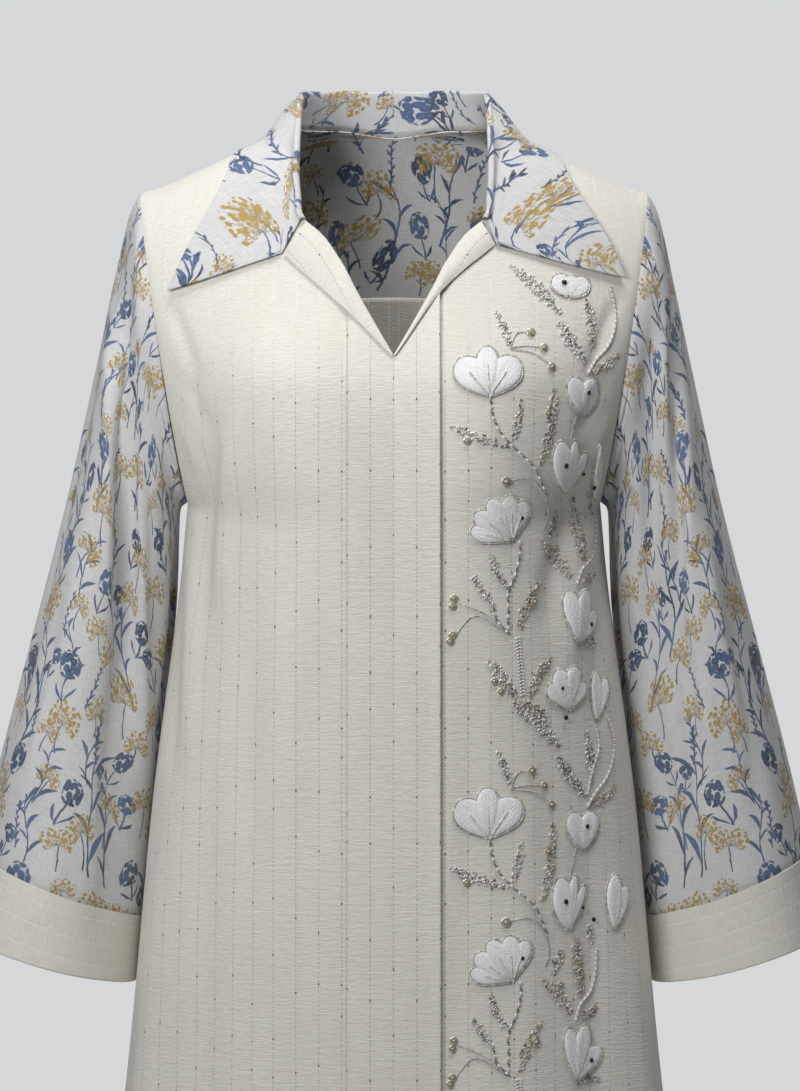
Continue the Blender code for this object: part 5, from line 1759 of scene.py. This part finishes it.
@dataclass(frozen=True)
class Branch:
    """A bowed stem with arched leaves by turns on both sides, in mm."""
    length: float
    bow: float
    pitch: float
    leaf: float
    half_width: float
    lean: float = 44.0
    arch: float = 3.0
    stem: float = 0.95


@dataclass(frozen=True)
class Layer:
    """One layer of the print: its tile in mm, and the motifs that grow in it."""
    width: float
    height: float
    shift: float
    branches: tuple[Motif, ...]
    branch: Branch
    umbels: tuple[Motif, ...]
    umbel_radius: float
    umbel_spread: float
    balls: tuple[Motif, ...]
    ball_radius: float
    spikes: tuple[Motif, ...] = ()
    spike: Branch | None = None


TALL_LAYER = Layer(
    width=112.0, height=172.0, shift=0.31,
    branches=(Motif(-18, -82, -4), Motif(40, -50, 10, 0.62)),
    branch=Branch(length=92, bow=6.0, pitch=33.0, leaf=30.0, half_width=2.1, lean=46.0, arch=3.6),
    umbels=(Motif(28, 26, 8), Motif(-32, 64, -6, 0.95), Motif(-38, -34, 16, 0.85), Motif(14, -70, -14, 0.72)),
    umbel_radius=20.0, umbel_spread=2.0,
    balls=(Motif(38, 70, -10), Motif(12, -28, 12, 0.9), Motif(-44, 14, 18, 0.85)),
    ball_radius=11.5,
    spikes=(Motif(-12, 4, -5), Motif(48, -82, 6, 0.9), Motif(10, 44, 12, 0.8)),
    spike=Branch(length=42, bow=2.5, pitch=7.5, leaf=7.5, half_width=1.1, lean=34.0, arch=0.6, stem=0.75),
)
LOW_LAYER = Layer(
    width=94.0, height=143.0, shift=0.77,
    branches=(Motif(14, -68, 7), Motif(-28, -4, -10, 0.72)),
    branch=Branch(length=70, bow=-5.0, pitch=27.0, leaf=24.0, half_width=1.9, lean=42.0, arch=3.0),
    umbels=(Motif(-24, -42, 20, 0.9), Motif(24, 44, -12), Motif(-28, 58, 10, 0.7)),
    umbel_radius=17.0, umbel_spread=2.3,
    balls=(Motif(31, -8, -20), Motif(-8, 14, 14, 0.8)),
    ball_radius=9.8,
)
# Leaves: shortest length and how much more chance adds, the same for their width, and which grow
LEAF_LENGTH, LEAF_LENGTH_CHANCE = 0.66, 0.48
LEAF_WIDTH, LEAF_WIDTH_CHANCE = 0.70, 0.45
FIRST_LEAF, LAST_LEAF = 0.2, 0.93
RIB_HALF_WIDTH, RIB_LIGHT, PALE_LEAVES = 0.35, 0.4, 0.72
# Umbels: sizes of dots in mm, and reaches in shares of the radius
FLORET, FLORETS_FROM, SMALL_FLORET, SMALL_FLORETS_TO = 4.3, 0.36, 2.3, 0.60
RAY_COUNT, RAY_HALF_WIDTH, RAYS_TO = 7.5, 1.7, 0.85
UMBEL_STEM, UMBEL_STEM_FOOT, STEM_WIDTH = 1.5, 1.45, 0.8
# Ball flowers: sizes in mm, and lengths in shares of the radius
BALL_PETAL, BALL_RAGGED, BALL_RAGGED_GRAIN, BALL_EDGE = 5.8, 3.4, (7.0, 7.0), 1.8
BALL_STEM, BALL_STEM_FOOT, BALL_LEAF, BALL_LEAF_FOOT = 2.3, 2.6, 1.15, 2.5


class Garden:
    """One tile of the print and what grows in it. Every mask is 1 on its motif and 0 off it.

    Columns of tiles drop by half a tile by turns, and odd columns are mirrored.
    """

    def __init__(self, nodes: Nodes, place: object, layer: Layer) -> None:
        """Works out the place within the tile."""
        self.nodes = nodes
        self.layer = layer
        u, v = nodes.separate(place)
        across = u / layer.width + layer.shift
        column = math.floor(across)
        odd = nodes.math("PINGPONG", column, 1.0)
        down = v / layer.height + odd * 0.5 + layer.shift
        x = (across - column - 0.5) * layer.width * (1 - 2 * odd)
        y = (down - math.floor(down) - 0.5) * layer.height
        self.tile = column * 3.7 + math.floor(down) * 7.9
        self.place = nodes.join(x, y)

    def near(self, motifs: tuple[Motif, ...], reach: float, middle: float) -> bpy.types.NodeSocket:
        """The place as one of the motifs sees it: its own foot at 0, upright and unscaled.

        A motif holds within reach of its middle, which is this high over its foot. The first one
        holds wherever no other does.
        """
        seen = None
        for motif in motifs:
            view = {"Vector": self.place, "Location": (motif.x, motif.y, 0),
                    "Rotation": (0, 0, math.radians(motif.turn)), "Scale": (motif.size, motif.size, 1)}
            moved = self.nodes.add("Mapping", view, vector_type="TEXTURE").outputs[0]
            if seen is None:
                seen = moved
                continue
            x, y = self.nodes.separate(moved)
            inside = self.radius(x, y - middle).below(reach, 0.01)
            seen = self.nodes.add("Mix", {0: inside, 4: seen, 5: moved}, data_type="VECTOR").outputs[1]
        return seen

    def radius(self, x: Field, y: Field) -> Field:
        """Distance from 0."""
        return self.nodes.math("SQRT", x * x + y * y)

    def stem(self, x: Field, y: Field, length: float, bow: float, half_width: float) -> tuple[Field, Field]:
        """A stem from 0 up, bowed sideways and thinner towards its end, and the distance beside it."""
        t = y / length
        beside = x - bow * 4 * (t * (1 - t))
        inside = y.above(0.0, 1.0) * y.below(length, 1.0)
        return abs(beside).below(half_width * (1.2 - 0.5 * t), 0.5) * inside, beside

    def branch(self, motifs: tuple[Motif, ...], branch: Branch) -> tuple[Field, Field]:
        """Stem and leaves, and how light each spot of the leaves is.

        A leaf leaves the stem at every pitch on each side, half a pitch apart across the stem. Its
        half width is half_width times 1 less (2 t - 1) squared along it, and it arches outwards.
        """
        seen = self.near(motifs, branch.length * 0.56, branch.length * 0.5)
        x, y = self.nodes.separate(seen)
        stem, beside = self.stem(x, y, branch.length, branch.bow, branch.stem)
        side = self.nodes.math("SIGN", beside)
        sine, cosine = math.sin(math.radians(branch.lean)), math.cos(math.radians(branch.lean))
        up = y + side * (branch.pitch / 4)
        out = abs(beside)
        across = up * sine - out * cosine
        number = self.nodes.math("ROUND", across / (branch.pitch * sine))
        across = across - number * (branch.pitch * sine)
        along = out * sine + (up - number * branch.pitch) * cosine
        luck = self.nodes.dice(number * 2.3 + side * 0.61 + self.tile)
        t = along / (branch.leaf * (LEAF_LENGTH + LEAF_LENGTH_CHANCE * luck))
        swell = t * (1 - t) * 4
        bent = across - branch.arch * swell
        foot = number * branch.pitch - side * (branch.pitch / 4)
        grows = foot.above(branch.pitch * FIRST_LEAF, 0.1) * foot.below(branch.length * LAST_LEAF, 0.1)
        width = branch.half_width * (LEAF_WIDTH + LEAF_WIDTH_CHANCE * luck) * swell
        leaf = abs(bent).below(width, 0.6) * t.above(0.02, 0.02) * t.below(0.98, 0.02) * grows
        rib = abs(bent).below(RIB_HALF_WIDTH, 0.3) * RIB_LIGHT + luck.above(PALE_LEAVES, 0.05)
        return stem | leaf, rib

    def umbel(self) -> tuple[Field, Field]:
        """The round florets, and the stalks, of flower heads on thin stems.

        Florets are scattered dots towards the edge, and stalks are rays between them.
        """
        radius = self.layer.umbel_radius
        seen = self.near(self.layer.umbels, radius * 1.28, -radius * 0.22)
        x, y = self.nodes.separate(seen)
        stem, _ = self.stem(x + 2.0, y + radius * UMBEL_STEM_FOOT, radius * UMBEL_STEM, 2.0, STEM_WIDTH)
        far = self.radius(x, y)
        angle = self.nodes.math("ARCTAN2", x, y)
        inside = abs(angle).below(self.layer.umbel_spread, 0.12)
        edge = radius * (1.0 - 0.05 * (angle * angle))
        dots = self.nodes.cells(seen, FLORET).below(0.37, 0.09) * far.above(radius * FLORETS_FROM, 1.0)
        small = self.nodes.cells(seen, SMALL_FLORET).below(0.40, 0.14)
        small = small * far.below(radius * SMALL_FLORETS_TO, 1.5)
        florets = (dots | small * 0.8) * far.below(edge, 1.0) * inside
        rays = abs(self.nodes.math("SINE", angle * RAY_COUNT)) * far
        rays = rays.below(RAY_HALF_WIDTH, 1.2) * far.below(radius * RAYS_TO, 2.0) * inside
        return florets, stem | rays * 0.75

    def ball_flower(self) -> tuple[Field, Field]:
        """Balls of round petals on stems with two leaves, and how light each spot of them is."""
        radius = self.layer.ball_radius
        seen = self.near(self.layer.balls, radius * 1.95, -radius * 0.85)
        x, y = self.nodes.separate(seen)
        stem, _ = self.stem(x, y + radius * BALL_STEM_FOOT, radius * BALL_STEM, 1.5, 0.85)
        petal = self.nodes.cells(seen, BALL_PETAL)
        far = self.radius(x, y) + BALL_RAGGED * self.nodes.noise(seen, BALL_RAGGED_GRAIN, 0.0)
        petals = petal.below(0.56, 0.10) * far.below(radius + BALL_EDGE, 0.8)
        t = (y + radius * BALL_LEAF_FOOT) / (radius * BALL_LEAF)
        swell = t * (1 - t) * 4
        leaf = abs(abs(x) - radius * 0.95 * t - 1.2 * swell).below(1.7 * swell, 0.6) * t.above(0.0, 0.02)
        return petals | stem | leaf, petal.below(0.24, 0.2)

    def masks(self) -> tuple[Field, Field, Field]:
        """The layer's blue and its mustard, and how light the blue is."""
        layer = self.layer
        branch, rib = self.branch(layer.branches, layer.branch)
        florets, stalks = self.umbel()
        ball, light = self.ball_flower()
        blue = branch | stalks | ball
        if layer.spike:
            blue = blue | self.branch(layer.spikes, layer.spike)[0]
        return blue, florets, rib | light


@dataclass(frozen=True)
class PrintedCloth:
    """Pale grey linen printed with branches and flower heads in blue and mustard.

    stray and ragged are the grain and reach, in mm, by which motifs and their edges are moved about.
    """
    name: str
    ground: tuple = (0.690, 0.690, 0.700, 1)
    shade: tuple = (0.560, 0.560, 0.565, 1)
    slate: tuple = (0.058, 0.112, 0.245, 1)
    navy: tuple = (0.024, 0.044, 0.092, 1)
    pale_blue: tuple = (0.140, 0.205, 0.330, 1)
    mustard: tuple = (0.490, 0.330, 0.070, 1)
    ochre: tuple = (0.275, 0.190, 0.050, 1)
    slub: Point = (14.0, 0.7)
    warp: Point = (0.7, 11.0)
    speckle: Point = (0.8, 0.8)
    hue: Point = (34.0, 34.0)
    stray: Point = (70.0, 26.0)
    ragged: Point = (4.0, 1.3)

    def material(self) -> bpy.types.Material:
        """Linen, then both layers of the print, a little worn into the weave."""
        made, nodes = new_material(self.name, 0.84, 0.08)
        cut = nodes.flat_cut()
        place = nodes.wander(nodes.wander(cut, *self.stray), *self.ragged)
        slub, warp = (nodes.noise(cut, grain, 3.0) for grain in (self.slub, self.warp))
        speckle = nodes.noise(cut, self.speckle)
        ground = nodes.mix((slub + warp).above(1.06, 0.5), self.ground, self.shade)
        tall_blue, tall_gold, tall_light = Garden(nodes, place, TALL_LAYER).masks()
        low_blue, low_gold, low_light = Garden(nodes, place, LOW_LAYER).masks()
        wear = 0.80 + 0.20 * speckle.below(0.60, 0.3)
        hue = nodes.noise(cut, self.hue, 1.0)
        deep = nodes.mix(hue.above(0.50, 0.12), self.navy, self.slate)
        blue = nodes.mix((tall_light | low_light) * 0.45, deep, self.pale_blue)
        gold = nodes.mix(speckle.above(0.52, 0.2) * 0.6, self.mustard, self.ochre)
        cloth = nodes.mix((low_blue | tall_blue) * wear, ground, blue)
        cloth = nodes.mix((low_gold | tall_gold) * wear, cloth, gold)
        nodes.shade(cloth)
        nodes.bump(slub * 0.5 + warp * 0.5 + speckle * 0.25, 0.0005, 0.5)
        return made


@dataclass(frozen=True)
class SatinStitch:
    """White thread laid side by side over padding, its strands across the petal."""
    name: str
    white: tuple = (0.970, 0.970, 0.965, 1)
    shade: tuple = (0.790, 0.795, 0.800, 1)
    strands: Point = (4.0, 0.60)
    fuzz: Point = (1.3, 1.3)

    def material(self) -> bpy.types.Material:
        """Strands as noise drawn out along them, with a soft shine."""
        made, nodes = new_material(self.name, 0.55, 0.25)
        cut = nodes.flat_cut()
        strands, fuzz = (nodes.noise(cut, grain) for grain in (self.strands, self.fuzz))
        # The grey mixed in where the strands' and fuzz's noise is high is painted shade of the strands and
        # fuzz
        nodes.shade(nodes.mix((strands * 0.5 + fuzz * 0.5).above(0.60, 0.22) * 0.7, self.white, self.shade))
        nodes.bump(strands * 0.7 + fuzz, 0.0010, 0.75)
        return made


@dataclass(frozen=True)
class Tinted:
    """Beads and thread from dark grey through silver to white, with gold at the top of the range."""
    name: str
    metallic: float
    roughness: float
    dark: tuple = (0.110, 0.103, 0.092, 1)
    silver: tuple = (0.600, 0.590, 0.560, 1)
    white: tuple = (0.930, 0.925, 0.905, 1)
    gold: tuple = (0.560, 0.480, 0.340, 1)

    def material(self) -> bpy.types.Material:
        """The colour of each copy from its tint."""
        made, nodes = new_material(self.name, self.roughness, metallic=self.metallic)
        share = Field(nodes, nodes.add("Attribute", attribute_name="tint").outputs["Fac"])
        colour = nodes.mix(share.above(0.22, 0.35), self.dark, self.silver)
        colour = nodes.mix(share.above(0.66, 0.2), colour, self.white)
        nodes.shade(nodes.mix(share.above(0.88, 0.04), colour, self.gold))
        return made


@dataclass(frozen=True)
class Polished:
    """One hard glossy finish with faint swirls in its roughness."""
    name: str
    colour: tuple
    metallic: float
    roughness: float
    swirls: float = 700.0

    def material(self) -> bpy.types.Material:
        """Gloss that varies over the surface."""
        made, nodes = new_material(self.name, self.roughness, metallic=self.metallic)
        place = nodes.add("TexCoord").outputs["Object"]
        swirl = Field(nodes, nodes.add("TexNoise", {"Vector": place, "Scale": self.swirls}).outputs[0])
        nodes.shade(self.colour)
        nodes.shade(self.roughness * (0.6 + 0.8 * swirl), "Roughness")
        return made


# Studio

CAMERA_PLACE = (0.0049, -2.3, -0.3454)
METRES_PER_PIXEL = 0.0008155
PHOTO_HEIGHT = 1091
SENSOR = 36.0
FLOOR_Z = -1.42
ROOM_TINT = (0.088, 0.090, 0.094, 1)
WALL_TINT = (0.672, 0.682, 0.690, 1)
WALL_TURN, WALL_SOFTNESS = 0.70, 0.45
FLOOR_RADIUS, FLOOR_SIDES = 2.4, 96
FLOOR_COLOUR = (0.78, 0.79, 0.79, 1)
LIT_HEIGHT = -0.35
FAR = 50


@dataclass(frozen=True)
class Lamp:
    """A square soft light: its side in metres and its power in watts."""
    name: str
    place: tuple[float, float, float]
    size: float
    power: float
    colour: tuple[float, float, float]


LAMPS = (
    Lamp("ceiling", (0.20, -0.50, 1.45), 0.8, 23, (1.0, 0.995, 0.98)),
    Lamp("side", (-0.60, -1.10, 0.10), 0.5, 9.5, (1.0, 0.998, 0.99)),
)


class Studio:
    """Plain pale surroundings, soft light and the camera at the photograph's angle."""

    def camera(self) -> None:
        """A camera level with the hips, whose frame is the photograph's at the robe's middle depth."""
        data = bpy.data.cameras.new("camera")
        data.sensor_width = SENSOR
        data.lens = SENSOR * -CAMERA_PLACE[1] / (PHOTO_HEIGHT * METRES_PER_PIXEL)
        data.clip_end = FAR
        camera = bpy.data.objects.new("camera", data)
        camera.location = CAMERA_PLACE
        camera.rotation_euler = (math.pi / 2, 0, 0)
        bpy.context.scene.collection.objects.link(camera)
        bpy.context.scene.camera = camera

    def light(self, lamp: Lamp) -> None:
        """A lamp that faces the robe's chest."""
        data = bpy.data.lights.new(lamp.name, "AREA")
        data.size = lamp.size
        data.energy = lamp.power
        data.color = lamp.colour
        light = bpy.data.objects.new(lamp.name, data)
        light.location = lamp.place
        from_chest = np.array([0.0, 0.0, LIT_HEIGHT]) - np.array(lamp.place)
        pitch = math.atan2(math.hypot(from_chest[0], from_chest[1]), -from_chest[2])
        light.rotation_euler = (pitch, 0, math.atan2(from_chest[1], from_chest[0]) - math.pi / 2)
        bpy.context.scene.collection.objects.link(light)

    def build(self) -> None:
        """World, floor, lights and camera."""
        world = bpy.data.worlds.new("studio")
        world.use_nodes = True
        nodes = Nodes(world.node_tree)
        _, depth = nodes.separate(nodes.add("TexCoord").outputs["Generated"])
        behind = depth.above(WALL_TURN, WALL_SOFTNESS)
        background = world.node_tree.nodes["Background"]
        nodes.put(background.inputs["Color"], nodes.mix(behind, ROOM_TINT, WALL_TINT))
        background.inputs["Strength"].default_value = 1.0
        bpy.context.scene.world = world
        bpy.context.scene.view_settings.view_transform = "Standard"
        for lamp in LAMPS:
            self.light(lamp)
        mesh = bpy.data.meshes.new("floor")
        turn = np.linspace(0, 2 * math.pi, FLOOR_SIDES, endpoint=False)
        rim = stack(FLOOR_RADIUS * np.cos(turn), FLOOR_RADIUS * np.sin(turn), FLOOR_Z)
        mesh.from_pydata(rim.tolist(), [], [list(range(FLOOR_SIDES))])
        floor = new_object("floor", mesh)
        paint, nodes = new_material("floor", 0.8)
        nodes.shade(FLOOR_COLOUR)
        floor.data.materials.append(paint)
        self.camera()


FIRST_FRONT_LINE = 4.1


def main() -> None:
    """Builds every piece in order."""
    logging.basicConfig(level=logging.INFO, format="%(message)s")
    # The cream pieces' metal thread is painted lit down to 262 mm along their flat cut and painted shaded
    # below; on the band and lapels the limit is 40 mm, and on the cuffs the thread is painted lit on one half
    # of the round and painted shaded on the other
    cream = StripedCloth("cream_cloth", FIRST_FRONT_LINE).material()
    band_cream = StripedCloth("cream_band_cloth", 0.0, lit_until=40.0).material()
    cuff_cream = StripedCloth("cream_cuff_cloth", 10.0, round=True, lit_until=0.0).material()
    printed = PrintedCloth("printed_cloth").material()
    body_pieces = Body(cream, printed)
    body_pieces.fronts()
    body_pieces.back()
    body_pieces.yoke()
    sleeves = Sleeves(cuff_cream, printed)
    sleeves.sleeves()
    sleeves.cuffs()
    front = FrontPieces(band_cream, printed)
    front.band()
    front.lapels()
    front.collar()
    applique = Applique(SatinStitch("applique").material())
    applique.build()
    Embroidery(
        silver=Tinted("silver_thread_and_beads", 0.35, 0.36).material(),
        gold=Polished("gold_sequin", (0.700, 0.620, 0.460, 1), 0.65, 0.32).material(),
        stone=Polished("dark_stone", (0.030, 0.028, 0.030, 1), 0.3, 0.14).material(),
        cord=Tinted("white_cord", 0.0, 0.55).material(),
        outlines=applique.outlines(),
        veins=applique.veins(),
    ).build()
    Studio().build()


if __name__ == "__main__":
    main()
